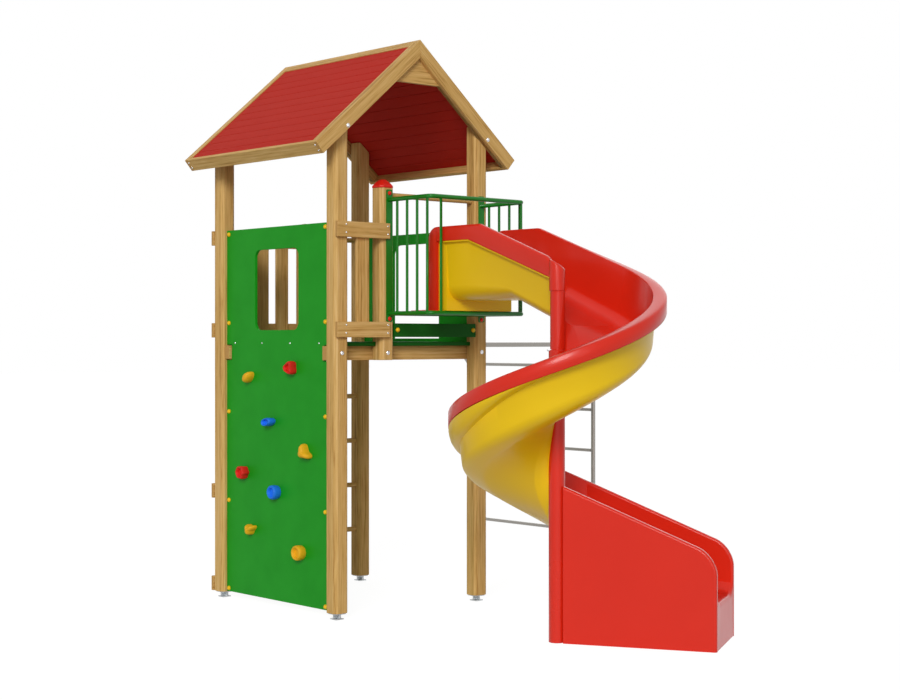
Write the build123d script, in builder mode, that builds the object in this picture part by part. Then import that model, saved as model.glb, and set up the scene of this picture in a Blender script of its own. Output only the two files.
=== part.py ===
"""A play tower: roofed timber tower with a climbing panel, a ladder, an arch climber and a spiral slide.

Millimetres. The origin is the middle of the underside of the front left post's foot.
X runs along the front to the right, Y runs to the back, Z is up.
"""
import math
import os

from build123d import *

os.makedirs("parts", exist_ok=True)

# posts and plan
post = 95.0
post_chamfer = 17.0
bay_x = 1015.0
bay_y = 1090.0
half = post / 2
foot_height = 35.0
foot_width = 50.0
foot_web = 8.0
foot_plate = 6.0
mid_x = bay_x / 2
mid_y = bay_y / 2
middle_post_x = 317.0
ladder_post_x = 588.5
cap_height = 48.0
cap_skirt = 12.0

# platform
deck_top = 1500.0
deck_thickness = 22.0
beam_depth = 78.0
beam_width = 45.0
beam_overhang = 30.0
deck_clearance = 1.5
beam_top = deck_top - deck_thickness
beam_bottom = beam_top - beam_depth

# flat panels
panel_thickness = 19.0
climbing_panel_x = -14.6
panel_height = 651.0
panel_top = deck_top + panel_height
climbing_panel_bottom = 40.0
panel_notch = 5.0
window_width = 420.0
window_sill = 67.0
window_lintel = 126.0
window_bottom = deck_top + window_sill
window_top = panel_top - window_lintel
window_corner = 46.0
portal_width = 430.0
portal_lintel = 63.0
portal_top = panel_top - portal_lintel
portal_sill = 20.0
portal_corner = 60.0
threshold_gap = 27.0
threshold_height = 76.0
threshold_bottom = deck_top + threshold_gap
threshold_top = threshold_bottom + threshold_height

# planks and boards
plank_height = 85.0
plank_thickness = 20.0
lower_plank_gap = 25.0
upper_plank_bottom = panel_top - plank_height + 1
lower_plank_bottom = deck_top + lower_plank_gap
ladder_plank_bottoms = (580.0, 35.0)
board_width = 85.0
board_thickness = 20.0
board_trim = 5.0
front_board_left = 100.0
back_board_lefts = (107.0, 252.0, 396.0)

# round bars
bar_diameter = 30.0
bar_offset = 8.0
short_post_rise = 199.0
short_post_top = panel_top + short_post_rise
ladder_post_rise = 21.0
ladder_post_top = panel_top + ladder_post_rise
hand_bar_drop = 38.0
hand_bar_z = short_post_top - hand_bar_drop
grab_bar_drop = 19.0
grab_bar_z = panel_top - grab_bar_drop
rung_first = 328.0
rung_pitch = 277.0
rung_count = 4

# roof
ridge_rise = 1030.0
ridge_z = panel_top + ridge_rise
roof_angle = 40.75
roof_length_top = 951.0
barge_width = 77.0
barge_thickness = 25.0
rafter_thickness = 25.0
slope_drop = 4.0
slope_thickness = 18.0
fascia_thickness = 20.0
ridge_board_width = 53.0
gusset_drop = 241.0
gusset_bottom = ridge_z - gusset_drop
post_flat_drop = 436.0
post_flat_top = ridge_z - post_flat_drop

# green railing round the slide's entry
strip_width = 43.0
strip_thickness = 5.0
strip_gap = 9.0
strip_drop = 10.0
strip_bottom = threshold_top + strip_gap
strip_top = short_post_top - strip_drop
strip_half_spacing = 342.0
rail_inset = 0.7
cage_half = strip_half_spacing - rail_inset
cage_front_y = -400.0
cage_bend = 26.0
rail_diameter = 24.5
rail_top_inset = 56.0
rail_bottom_inset = 44.6
rail_top_z = strip_top - rail_top_inset
rail_bottom_z = strip_bottom + rail_bottom_inset
cage_bar_diameter = 15.0
cage_bar_ys = (-118.0, -202.7, -287.4, -372.0)
front_bar_inset = 73.3
corner_bar_inset = cage_bend * (1 - math.sqrt(0.5))
cage_back_rail_y = -72.0

# slide
column_x = 412.0
column_y = -1272.0
column_diameter = 80.0
slide_half = 258.0
slide_start_y = -284.0
slide_frame_depth = 66.0
slide_frame_corner = 58.0
slide_strip_depth = 63.0
slide_descent_y = -628.0
slide_base_end_y = -908.0
slide_box_end_y = -895.0
slide_rim_drop = 160.0
slide_floor_rise = 81.4
slide_rim_start = rail_top_z - slide_rim_drop
slide_floor_start = rail_bottom_z + slide_floor_rise
column_drop = 205.0
column_cut = 0.64
column_top = slide_rim_start - column_drop
slide_rim_descent = 0.366
slide_ease = 20.0
near_rim_descent = 0.3575
near_rim_ease = 120.0
near_band_growth = 27.0
slide_turn = 330.0
slide_drop_per_degree = 3.345
slide_step = 15.0
rim_outer_radius = 546.0
rim_depth = 80.0
rim_width_straight = 30.0
rim_width_turn = 56.0
trough_depth = 308.0
skin = 6.0
skin_gap = 0.15
seat_gap = 0.2
slide_base_inset = 68.0
bowl_inner = 76.0
bowl_outer = 150.0
pan_thickness = 8.0

# slide exit
exit_near = -37.0
exit_near_rise = 10.0
exit_far = 480.0
exit_length = 808.0
exit_wall = 37.0
exit_top_slope = 0.4115
exit_lip = 225.0
exit_corner = 80.0
exit_skin = 10.0

# steel arch climber
climber_reach = 972.0
climber_tube = 26.9
climber_rung = 20.0
climber_bend = 300.0
climber_top = 1496.5
climber_rung_first = 326.0
climber_rung_pitch = 251.0

tan_roof = math.tan(math.radians(roof_angle))
cos_roof = math.cos(math.radians(roof_angle))
sin_roof = math.sin(math.radians(roof_angle))
timber_bottom = foot_height
front_face = -half
back_face = bay_y + half
roof_front = front_face - rafter_thickness - barge_thickness - 0.5
roof_back = back_face + rafter_thickness + barge_thickness + 0.5
bay_centre_x = (middle_post_x + half + bay_x - half) / 2
panel_inner_x = climbing_panel_x + panel_thickness
portal_inner_x = bay_x - panel_inner_x


def post_section():
    """The chamfered square of every post, to be called inside a sketch."""
    Rectangle(post, post)
    chamfer(vertices(), post_chamfer)


def roof_line(x, drop):
    """Height of the roof's top line at x, moved down square to the slope by drop."""
    return ridge_z - abs(x - mid_x) * tan_roof - drop / cos_roof


def roof_point(side, along, down):
    """A point in the XZ plane, measured down the slope from the ridge and square into the roof."""
    x = along * cos_roof - down * sin_roof
    z = ridge_z - along * sin_roof - down * cos_roof
    return (mid_x + side * x, z)


def ridge_cut(side, down):
    """Where a layer at depth down meets the vertical plane under the ridge."""
    return (mid_x, ridge_z - down / cos_roof)


# corner posts: the top is cut to the slope of the roof
slope_under = slope_drop + slope_thickness


def post_top_cut(centre_x):
    """The outline above a corner post's sloping top."""
    left = centre_x - post
    right = centre_x + post
    gap = 0.2 / cos_roof
    points = [(left, min(roof_line(left, slope_under) - gap, post_flat_top))]
    flat_reach = (ridge_z - slope_under / cos_roof - gap - post_flat_top) / tan_roof
    edge = mid_x - flat_reach if centre_x < mid_x else mid_x + flat_reach
    if left < edge < right:
        points.append((edge, post_flat_top))
    points.append((right, min(roof_line(right, slope_under) - gap, post_flat_top)))
    points.append((right, ridge_z))
    points.append((left, ridge_z))
    return points


with BuildPart() as front_left_post:
    with BuildSketch(Plane.XY.offset(timber_bottom)):
        post_section()
    extrude(amount=ridge_z - timber_bottom)
    with BuildSketch(Plane.XZ.offset(post)):
        Polygon(*post_top_cut(0), align=None)
    extrude(amount=-2 * post, mode=Mode.SUBTRACT)
front_left_post.part.label = "front_left_post"
export_step(front_left_post.part, "parts/front_left_post.step")

with BuildPart() as back_left_post:
    with BuildSketch(Plane.XY.offset(timber_bottom)):
        with Locations((0, bay_y)):
            post_section()
    extrude(amount=ridge_z - timber_bottom)
    with BuildSketch(Plane.XZ.offset(-bay_y + post)):
        Polygon(*post_top_cut(0), align=None)
    extrude(amount=-2 * post, mode=Mode.SUBTRACT)
back_left_post.part.label = "back_left_post"
export_step(back_left_post.part, "parts/back_left_post.step")

with BuildPart() as front_right_post:
    with BuildSketch(Plane.XY.offset(timber_bottom)):
        with Locations((bay_x, 0)):
            post_section()
    extrude(amount=ridge_z - timber_bottom)
    with BuildSketch(Plane.XZ.offset(post)):
        Polygon(*post_top_cut(bay_x), align=None)
    extrude(amount=-2 * post, mode=Mode.SUBTRACT)
front_right_post.part.label = "front_right_post"
export_step(front_right_post.part, "parts/front_right_post.step")

with BuildPart() as back_right_post:
    with BuildSketch(Plane.XY.offset(timber_bottom)):
        with Locations((bay_x, bay_y)):
            post_section()
    extrude(amount=ridge_z - timber_bottom)
    with BuildSketch(Plane.XZ.offset(-bay_y + post)):
        Polygon(*post_top_cut(bay_x), align=None)
    extrude(amount=-2 * post, mode=Mode.SUBTRACT)
back_right_post.part.label = "back_right_post"
export_step(back_right_post.part, "parts/back_right_post.step")

# middle post: hangs on the front beam beside the slide's bay
with BuildPart() as middle_post:
    with BuildSketch(Plane.XY.offset(beam_bottom)):
        with Locations((middle_post_x, 0)):
            post_section()
    extrude(amount=short_post_top - beam_bottom)
middle_post.part.label = "middle_post"
export_step(middle_post.part, "parts/middle_post.step")

# ladder post: stands on the ground at the back
with BuildPart() as ladder_post:
    with BuildSketch(Plane.XY.offset(timber_bottom)):
        with Locations((ladder_post_x, bay_y)):
            post_section()
    extrude(amount=ladder_post_top - timber_bottom)
ladder_post.part.label = "ladder_post"
export_step(ladder_post.part, "parts/ladder_post.step")

# post caps: low faceted pyramids on the two short posts
cap_places = [(middle_post_x, 0, short_post_top), (ladder_post_x, bay_y, ladder_post_top)]
cap_middle = (cap_skirt + cap_height) / 2


def cap_section(x, y, z, width):
    """A chamfered square across a cap at height z."""
    with BuildSketch(Plane.XY.offset(z)) as section:
        with Locations((x, y)):
            Rectangle(width, width)
        chamfer(section.vertices(), post_chamfer * width / post)
    return section.sketch


with BuildPart() as post_caps:
    for cap_x, cap_y, cap_z in cap_places:
        cap_low = cap_section(cap_x, cap_y, cap_z + cap_skirt, post + 4)
        cap_mid = cap_section(cap_x, cap_y, cap_z + cap_middle, 0.72 * post)
        cap_high = cap_section(cap_x, cap_y, cap_z + cap_height, 0.3 * post)
        extrude(cap_section(cap_x, cap_y, cap_z, post + 4), amount=cap_skirt)
        loft(sections=[cap_low, cap_mid], ruled=True)
        loft(sections=[cap_mid, cap_high], ruled=True)
post_caps.part.label = "post_caps"
export_step(post_caps.part, "parts/post_caps.step")

# post feet: a cross-shaped steel stub with a plate under each post
foot_places = [(0, 0), (0, bay_y), (bay_x, 0), (bay_x, bay_y), (ladder_post_x, bay_y)]
with BuildPart() as post_feet:
    with BuildSketch(Plane.XY):
        with Locations(*foot_places):
            Rectangle(foot_width, foot_web)
            Rectangle(foot_web, foot_width)
    extrude(amount=foot_height - foot_plate)
    with BuildSketch(Plane.XY.offset(foot_height - foot_plate)):
        with Locations(*foot_places):
            Rectangle(post * 0.72, post * 0.72)
    extrude(amount=foot_plate)
    with BuildSketch(Plane.XY):
        with Locations(*foot_places):
            Rectangle(foot_width + 4, foot_width + 4)
    extrude(amount=foot_plate)
post_feet.part.label = "post_feet"
export_step(post_feet.part, "parts/post_feet.step")

# platform
beam_length = bay_x + 2 * beam_overhang
with BuildPart() as front_beam:
    with BuildSketch(Plane.XY.offset(beam_bottom)):
        with Locations((mid_x, half + beam_width / 2)):
            Rectangle(beam_length, beam_width)
    extrude(amount=beam_depth)
front_beam.part.label = "front_beam"
export_step(front_beam.part, "parts/front_beam.step")

with BuildPart() as back_beam:
    with BuildSketch(Plane.XY.offset(beam_bottom)):
        with Locations((mid_x, bay_y - half - beam_width / 2)):
            Rectangle(beam_length, beam_width)
    extrude(amount=beam_depth)
back_beam.part.label = "back_beam"
export_step(back_beam.part, "parts/back_beam.step")

joist_span = bay_y - 2 * (half + beam_width)
with BuildPart() as floor_joists:
    with BuildSketch(Plane.XY.offset(beam_bottom)):
        with Locations((bay_x * 0.2, mid_y), (mid_x, mid_y), (bay_x * 0.8, mid_y)):
            Rectangle(beam_width, joist_span)
    extrude(amount=beam_depth)
floor_joists.part.label = "floor_joists"
export_step(floor_joists.part, "parts/floor_joists.step")

deck_left = panel_inner_x
deck_right = portal_inner_x
with BuildPart() as deck:
    with BuildSketch(Plane.XY.offset(beam_top)):
        with Locations(((deck_left + deck_right) / 2, mid_y)):
            Rectangle(deck_right - deck_left, bay_y)
        notch = post + 2 * deck_clearance
        with Locations((0, 0), (bay_x, 0), (0, bay_y), (bay_x, bay_y), (middle_post_x, 0), (ladder_post_x, bay_y)):
            Rectangle(notch, notch, mode=Mode.SUBTRACT)
    extrude(amount=deck_thickness)
deck.part.label = "deck"
export_step(deck.part, "parts/deck.step")

# climbing panel: full height between the two left posts, with a window
panel_width = bay_y - post
notch_height = beam_depth + 2 * panel_notch
with BuildPart() as climbing_panel:
    with BuildSketch(Plane.YZ.offset(climbing_panel_x)):
        with Locations((mid_y, (panel_top + climbing_panel_bottom) / 2)):
            Rectangle(panel_width, panel_top - climbing_panel_bottom)
        with Locations((mid_y, (window_top + window_bottom) / 2)):
            RectangleRounded(window_width, window_top - window_bottom, window_corner, mode=Mode.SUBTRACT)
        notch_y = half + (beam_width + panel_notch) / 2
        with Locations((notch_y, beam_bottom + beam_depth / 2), (bay_y - notch_y, beam_bottom + beam_depth / 2)):
            Rectangle(beam_width + panel_notch, notch_height, mode=Mode.SUBTRACT)
    extrude(amount=panel_thickness)
climbing_panel.part.label = "climbing_panel"
export_step(climbing_panel.part, "parts/climbing_panel.step")

# portal panel: above the deck between the two right posts, with a doorway to the climber
portal_bottom = beam_top + 2
portal_low = deck_top + portal_sill
with BuildPart() as portal_panel:
    with BuildSketch(Plane.YZ.offset(portal_inner_x)):
        with Locations((mid_y, (panel_top + portal_bottom) / 2)):
            Rectangle(panel_width, panel_top - portal_bottom)
        with Locations((mid_y, (portal_low + portal_top) / 2)):
            RectangleRounded(portal_width, portal_top - portal_low, portal_corner, mode=Mode.SUBTRACT)
        with Locations((mid_y, portal_low + portal_corner)):
            Rectangle(portal_width, 2 * portal_corner, mode=Mode.SUBTRACT)
    extrude(amount=panel_thickness)
portal_panel.part.label = "portal_panel"
export_step(portal_panel.part, "parts/portal_panel.step")

# threshold board under the slide's entry
entry_left = middle_post_x + half
entry_right = bay_x - half
with BuildPart() as threshold_board:
    with BuildSketch(Plane.XZ.offset(half)):
        with Locations(((entry_left + entry_right) / 2, (threshold_bottom + threshold_top) / 2)):
            Rectangle(entry_right - entry_left, threshold_top - threshold_bottom)
    extrude(amount=-panel_thickness)
threshold_board.part.label = "threshold_board"
export_step(threshold_board.part, "parts/threshold_board.step")

# front planks on the outer faces of the posts; the upper one is let over the railing's strip
plank_length = middle_post_x + half
strip_left = bay_centre_x - strip_half_spacing - strip_width / 2
with BuildPart() as front_planks:
    with BuildSketch(Plane.XZ.offset(half)):
        for low in (upper_plank_bottom, lower_plank_bottom):
            with Locations(((middle_post_x - half) / 2, low + plank_height / 2)):
                Rectangle(plank_length, plank_height)
    extrude(amount=plank_thickness)
    with BuildSketch(Plane.XZ.offset(half)):
        with Locations(((strip_left + middle_post_x) / 2, upper_plank_bottom + plank_height / 2)):
            Rectangle(middle_post_x - strip_left + 0.4, plank_height + 2)
    extrude(amount=strip_thickness + seat_gap, mode=Mode.SUBTRACT)
front_planks.part.label = "front_planks"
export_step(front_planks.part, "parts/front_planks.step")

infill_bottom = lower_plank_bottom + board_trim
infill_top = upper_plank_bottom + plank_height - board_trim
with BuildPart() as front_board:
    with BuildSketch(Plane.XZ.offset(half)):
        with Locations((front_board_left + board_width / 2, (infill_bottom + infill_top) / 2)):
            Rectangle(board_width, infill_top - infill_bottom)
    extrude(amount=-board_thickness)
front_board.part.label = "front_board"
export_step(front_board.part, "parts/front_board.step")

# back planks and boards between the left post and the ladder post
back_length = ladder_post_x + half
with BuildPart() as back_upper_planks:
    with BuildSketch(Plane.XZ.offset(-back_face)):
        for low in (upper_plank_bottom, lower_plank_bottom):
            with Locations(((ladder_post_x - half) / 2, low + plank_height / 2)):
                Rectangle(back_length, plank_height)
    extrude(amount=-plank_thickness)
back_upper_planks.part.label = "back_upper_planks"
export_step(back_upper_planks.part, "parts/back_upper_planks.step")

with BuildPart() as back_lower_planks:
    with BuildSketch(Plane.XZ.offset(-back_face)):
        for low in ladder_plank_bottoms:
            with Locations(((ladder_post_x - half) / 2, low + plank_height / 2)):
                Rectangle(back_length, plank_height)
    extrude(amount=-plank_thickness)
back_lower_planks.part.label = "back_lower_planks"
export_step(back_lower_planks.part, "parts/back_lower_planks.step")

with BuildPart() as back_upper_boards:
    with BuildSketch(Plane.XZ.offset(-back_face)):
        for left in back_board_lefts:
            with Locations((left + board_width / 2, (infill_bottom + infill_top) / 2)):
                Rectangle(board_width, infill_top - infill_bottom)
    extrude(amount=board_thickness)
back_upper_boards.part.label = "back_upper_boards"
export_step(back_upper_boards.part, "parts/back_upper_boards.step")

low_infill_bottom = ladder_plank_bottoms[1] + board_trim
low_infill_top = ladder_plank_bottoms[0] + plank_height - board_trim
with BuildPart() as back_lower_boards:
    with BuildSketch(Plane.XZ.offset(-back_face)):
        for left in back_board_lefts:
            with Locations((left + board_width / 2, (low_infill_bottom + low_infill_top) / 2)):
                Rectangle(board_width, low_infill_top - low_infill_bottom)
    extrude(amount=board_thickness)
back_lower_boards.part.label = "back_lower_boards"
export_step(back_lower_boards.part, "parts/back_lower_boards.step")

# ladder rungs and grab bar between the ladder post and the back right post
ladder_left = ladder_post_x + half
ladder_right = bay_x - half
with BuildPart() as ladder_rungs:
    with BuildSketch(Plane.YZ.offset(ladder_left)):
        for number in range(rung_count):
            with Locations((bay_y - bar_offset, rung_first + number * rung_pitch)):
                Circle(bar_diameter / 2)
    extrude(amount=ladder_right - ladder_left)
ladder_rungs.part.label = "ladder_rungs"
export_step(ladder_rungs.part, "parts/ladder_rungs.step")

with BuildPart() as grab_bar:
    with BuildSketch(Plane.YZ.offset(ladder_left)):
        with Locations((bay_y - bar_offset, grab_bar_z)):
            Circle(bar_diameter / 2)
    extrude(amount=ladder_right - ladder_left)
grab_bar.part.label = "grab_bar"
export_step(grab_bar.part, "parts/grab_bar.step")

with BuildPart() as slide_hand_bar:
    with BuildSketch(Plane.YZ.offset(entry_left)):
        with Locations((-bar_offset, hand_bar_z)):
            Circle(bar_diameter / 2)
    extrude(amount=entry_right - entry_left)
slide_hand_bar.part.label = "slide_hand_bar"
export_step(slide_hand_bar.part, "parts/slide_hand_bar.step")

# roof: barge boards outside, a rafter layer with a gusset behind them
with BuildPart() as front_barge_boards:
    with BuildSketch(Plane.XZ.offset(-roof_front)):
        for side in (-1, 1):
            Polygon(ridge_cut(side, 0), roof_point(side, roof_length_top, 0),
                    roof_point(side, roof_length_top, barge_width), ridge_cut(side, barge_width), align=None)
    extrude(amount=-barge_thickness)
front_barge_boards.part.label = "front_barge_boards"
export_step(front_barge_boards.part, "parts/front_barge_boards.step")

with BuildPart() as back_barge_boards:
    with BuildSketch(Plane.XZ.offset(-roof_back)):
        for side in (-1, 1):
            Polygon(ridge_cut(side, 0), roof_point(side, roof_length_top, 0),
                    roof_point(side, roof_length_top, barge_width), ridge_cut(side, barge_width), align=None)
    extrude(amount=barge_thickness)
back_barge_boards.part.label = "back_barge_boards"
export_step(back_barge_boards.part, "parts/back_barge_boards.step")

rafter_length = roof_length_top - fascia_thickness
gusset_apex = ridge_z - barge_width / cos_roof
gusset_reach = (gusset_apex - gusset_bottom) / tan_roof
with BuildPart() as front_gable_frame:
    with BuildSketch(Plane.XZ.offset(-roof_front - barge_thickness)):
        for side in (-1, 1):
            Polygon(ridge_cut(side, 0), roof_point(side, rafter_length, 0),
                    roof_point(side, rafter_length, barge_width), ridge_cut(side, barge_width), align=None)
        Polygon((mid_x, gusset_apex + 10), (mid_x + gusset_reach + 11.6, gusset_bottom),
                (mid_x - gusset_reach - 11.6, gusset_bottom), align=None)
    extrude(amount=-rafter_thickness)
front_gable_frame.part.label = "front_gable_frame"
export_step(front_gable_frame.part, "parts/front_gable_frame.step")

with BuildPart() as back_gable_frame:
    with BuildSketch(Plane.XZ.offset(-roof_back + barge_thickness)):
        for side in (-1, 1):
            Polygon(ridge_cut(side, 0), roof_point(side, rafter_length, 0),
                    roof_point(side, rafter_length, barge_width), ridge_cut(side, barge_width), align=None)
        Polygon((mid_x, gusset_apex + 10), (mid_x + gusset_reach + 11.6, gusset_bottom),
                (mid_x - gusset_reach - 11.6, gusset_bottom), align=None)
    extrude(amount=rafter_thickness)
back_gable_frame.part.label = "back_gable_frame"
export_step(back_gable_frame.part, "parts/back_gable_frame.step")

# eave fascias between the barge boards, square to the slope
fascia_span = roof_back - roof_front - 2 * barge_thickness
with BuildPart() as left_fascia:
    with BuildSketch(Plane.XZ.offset(-roof_front - barge_thickness)):
        Polygon(roof_point(-1, rafter_length, 0), roof_point(-1, roof_length_top, 0),
                roof_point(-1, roof_length_top, barge_width), roof_point(-1, rafter_length, barge_width), align=None)
    extrude(amount=-fascia_span)
left_fascia.part.label = "left_fascia"
export_step(left_fascia.part, "parts/left_fascia.step")

with BuildPart() as right_fascia:
    with BuildSketch(Plane.XZ.offset(-roof_front - barge_thickness)):
        Polygon(roof_point(1, rafter_length, 0), roof_point(1, roof_length_top, 0),
                roof_point(1, roof_length_top, barge_width), roof_point(1, rafter_length, barge_width), align=None)
    extrude(amount=-fascia_span)
right_fascia.part.label = "right_fascia"
export_step(right_fascia.part, "parts/right_fascia.step")

# boarded slopes and the ridge boards between the rafters
slope_start = roof_front + barge_thickness + rafter_thickness
slope_span = roof_back - roof_front - 2 * (barge_thickness + rafter_thickness)
with BuildPart() as left_slope:
    with BuildSketch(Plane.XZ.offset(-slope_start)):
        Polygon(roof_point(-1, ridge_board_width, slope_drop), roof_point(-1, rafter_length, slope_drop),
                roof_point(-1, rafter_length, slope_under), roof_point(-1, ridge_board_width, slope_under),
                align=None)
    extrude(amount=-slope_span)
left_slope.part.label = "left_slope"
export_step(left_slope.part, "parts/left_slope.step")

with BuildPart() as right_slope:
    with BuildSketch(Plane.XZ.offset(-slope_start)):
        Polygon(roof_point(1, ridge_board_width, slope_drop), roof_point(1, rafter_length, slope_drop),
                roof_point(1, rafter_length, slope_under), roof_point(1, ridge_board_width, slope_under),
                align=None)
    extrude(amount=-slope_span)
right_slope.part.label = "right_slope"
export_step(right_slope.part, "parts/right_slope.step")

with BuildPart() as ridge_boards:
    with BuildSketch(Plane.XZ.offset(-slope_start)):
        for side in (-1, 1):
            Polygon(ridge_cut(side, 0), roof_point(side, ridge_board_width, 0),
                    roof_point(side, ridge_board_width, slope_under), ridge_cut(side, slope_under), align=None)
    extrude(amount=-slope_span)
ridge_boards.part.label = "ridge_boards"
export_step(ridge_boards.part, "parts/ridge_boards.step")

# green railing: two flat strips, two bent rails, a back rail and upright bars
rail_back_y = front_face - strip_thickness / 2
with BuildPart() as cage_railing:
    with BuildSketch(Plane.XZ.offset(half)):
        for side in (-1, 1):
            with Locations((bay_centre_x + side * strip_half_spacing, (strip_bottom + strip_top) / 2)):
                RectangleRounded(strip_width, strip_top - strip_bottom, 8)
    extrude(amount=strip_thickness)
    for rail_z in (rail_top_z, rail_bottom_z):
        with BuildLine() as rail_path:
            FilletPolyline((bay_centre_x - cage_half, rail_back_y, rail_z),
                           (bay_centre_x - cage_half, cage_front_y, rail_z),
                           (bay_centre_x + cage_half, cage_front_y, rail_z),
                           (bay_centre_x + cage_half, rail_back_y, rail_z), radius=cage_bend)
        with BuildSketch(Plane(origin=(bay_centre_x - cage_half, rail_back_y, rail_z), z_dir=(0, -1, 0))) as rail_end:
            Circle(rail_diameter / 2)
        sweep(sections=rail_end.sketch, path=rail_path.wire())
    with BuildSketch(Plane.YZ.offset(bay_centre_x - cage_half)):
        with Locations((cage_back_rail_y, rail_bottom_z)):
            Circle(rail_diameter / 2)
    extrude(amount=2 * cage_half)
    with BuildSketch(Plane.XY.offset(rail_bottom_z)):
        for side in (-1, 1):
            for bar_y in cage_bar_ys:
                with Locations((bay_centre_x + side * cage_half, bar_y)):
                    Circle(cage_bar_diameter / 2)
        with Locations((bay_centre_x - cage_half + front_bar_inset, cage_front_y),
                       (bay_centre_x + cage_half - corner_bar_inset, cage_front_y + corner_bar_inset)):
            Circle(cage_bar_diameter / 2)
    extrude(amount=rail_top_z - rail_bottom_z)
cage_railing.part.label = "cage_railing"
export_step(cage_railing.part, "parts/cage_railing.step")


# slide sections: closed outlines in an upright plane, u across from the inner side, z up
def offset_path(points, distance):
    """The open path moved to its left by distance, with mitred corners."""
    moved = []
    for index, (u, z) in enumerate(points):
        normals = []
        if index > 0:
            du, dz = u - points[index - 1][0], z - points[index - 1][1]
            size = math.hypot(du, dz)
            normals.append((-dz / size, du / size))
        if index < len(points) - 1:
            du, dz = points[index + 1][0] - u, points[index + 1][1] - z
            size = math.hypot(du, dz)
            normals.append((-dz / size, du / size))
        nu = sum(n[0] for n in normals)
        nz = sum(n[1] for n in normals)
        size = math.hypot(nu, nz)
        nu, nz = nu / size, nz / size
        reach = distance / (nu * normals[0][0] + nz * normals[0][1])
        moved.append((u + nu * reach, z + nz * reach))
    return moved


def trough_path(inner, outer, inner_rim, outer_rim, top, floor, near_top, near_band):
    """The trough's inside line, from the bottom of the inner rim band down, across and up again."""
    band = top - rim_depth
    left = inner + inner_rim
    right = outer - outer_rim
    near = bowl_inner
    far = bowl_outer
    return [(left, near_band), (left + 0.03 * near, floor + 1.45 * near), (left + 0.16 * near, floor + 0.68 * near),
            (left + 0.47 * near, floor + 0.22 * near), (left + near, floor + 0.03 * near),
            (left + 1.71 * near, floor), ((left + right) / 2, floor), (right - far, floor),
            (right - 0.61 * far, floor + 0.02 * far), (right - 0.33 * far, floor + 0.13 * far),
            (right - 0.16 * far, floor + 0.39 * far), (right - 0.09 * far, floor + 0.77 * far), (right, band)]


def column_side(path, inner, inner_rim):
    """The trough's inside line where it meets the column: low on the inner side, without a rim band."""
    return [(inner + inner_rim, path[1][1])] + path[2:]


def turn_liner_outline(inner, outer, inner_rim, outer_rim, top, floor):
    """The red liner in the turn: a rim band on the outer side only."""
    path = trough_path(inner, outer, inner_rim, outer_rim, top, floor, top, top - rim_depth)
    path = column_side(path, inner, inner_rim)
    under = offset_path(path, -skin)
    band = top - rim_depth
    under[-1] = (under[-1][0], band)
    finish = [(outer - outer_rim, top - 8), (outer - outer_rim + 8, top), (outer - 8, top), (outer, top - 8),
              (outer, band)]
    return path[:-1] + finish + list(reversed(under))


def turn_shell_outline(inner, outer, inner_rim, outer_rim, top, floor):
    """The yellow shell in the turn, below the outer rim band."""
    path = trough_path(inner, outer, inner_rim, outer_rim, top, floor, top, top - rim_depth)
    path = column_side(path, inner, inner_rim)
    inside = offset_path(path, -skin - skin_gap)
    outside = offset_path(path, -2 * skin - skin_gap)
    band = top - rim_depth - skin_gap
    inside[-1] = (inside[-1][0], band)
    outside[-1] = (outside[-1][0], band)
    return inside + list(reversed(outside))


def liner_outline(inner, outer, inner_rim, outer_rim, top, floor, near_top, near_band):
    """The red liner: rim bands on both sides and a thin skin inside the trough."""
    path = trough_path(inner, outer, inner_rim, outer_rim, top, floor, near_top, near_band)
    under = offset_path(path, -skin)
    band = top - rim_depth
    under[0] = (under[0][0], near_band)
    under[-1] = (under[-1][0], band)
    start = [(inner, near_band), (inner, near_top - 8), (inner + 5, near_top), (inner + inner_rim - 5, near_top),
             (inner + inner_rim, near_top - 8)]
    finish = [(outer - outer_rim, top - 8), (outer - outer_rim + 8, top), (outer - 8, top), (outer, top - 8),
              (outer, band)]
    return start + path[1:-1] + finish + list(reversed(under))


def shell_outline(inner, outer, inner_rim, outer_rim, top, floor, near_top, near_band):
    """The yellow shell that carries the liner, below the rim bands."""
    path = trough_path(inner, outer, inner_rim, outer_rim, top, floor, near_top, near_band)
    inside = offset_path(path, -skin - skin_gap)
    outside = offset_path(path, -2 * skin - skin_gap)
    band = top - rim_depth - skin_gap
    inside[0] = (inside[0][0], near_band - skin_gap)
    inside[-1] = (inside[-1][0], band)
    outside[0] = (outside[0][0], near_band - skin_gap)
    outside[-1] = (outside[-1][0], band)
    return inside + list(reversed(outside))


def section_plane(x, y, heading):
    """An upright plane whose own X points away from the turn's inner side."""
    across = (math.cos(math.radians(heading)), math.sin(math.radians(heading)), 0)
    normal = (math.sin(math.radians(heading)), -math.cos(math.radians(heading)), 0)
    return Plane(origin=(x, y, 0), x_dir=across, z_dir=normal)


def rim_height(distance, descent, ease_length):
    """Rim height of the straight part, distance along from its start: level, eased, then a steady fall."""
    run = max(0.0, distance - (slide_start_y - slide_descent_y))
    ease = min(run, ease_length)
    return slide_rim_start - descent * (run - ease + ease * ease / (2 * ease_length))


entry_run = slide_start_y - column_y
turn_rim = rim_height(entry_run, slide_rim_descent, slide_ease)
turn_inner = (column_diameter / 2 + seat_gap) / math.cos(math.radians(slide_step / 2))
exit_rim = turn_rim - slide_turn * slide_drop_per_degree
blend_start = slide_base_end_y
turn_skin = 2 * skin + skin_gap
frame_end_y = slide_start_y - slide_frame_depth
strip_end_y = frame_end_y - slide_strip_depth
straight_left = bay_centre_x - slide_half - column_x
straight_right = bay_centre_x + slide_half - column_x
exit_outer = exit_far


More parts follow.
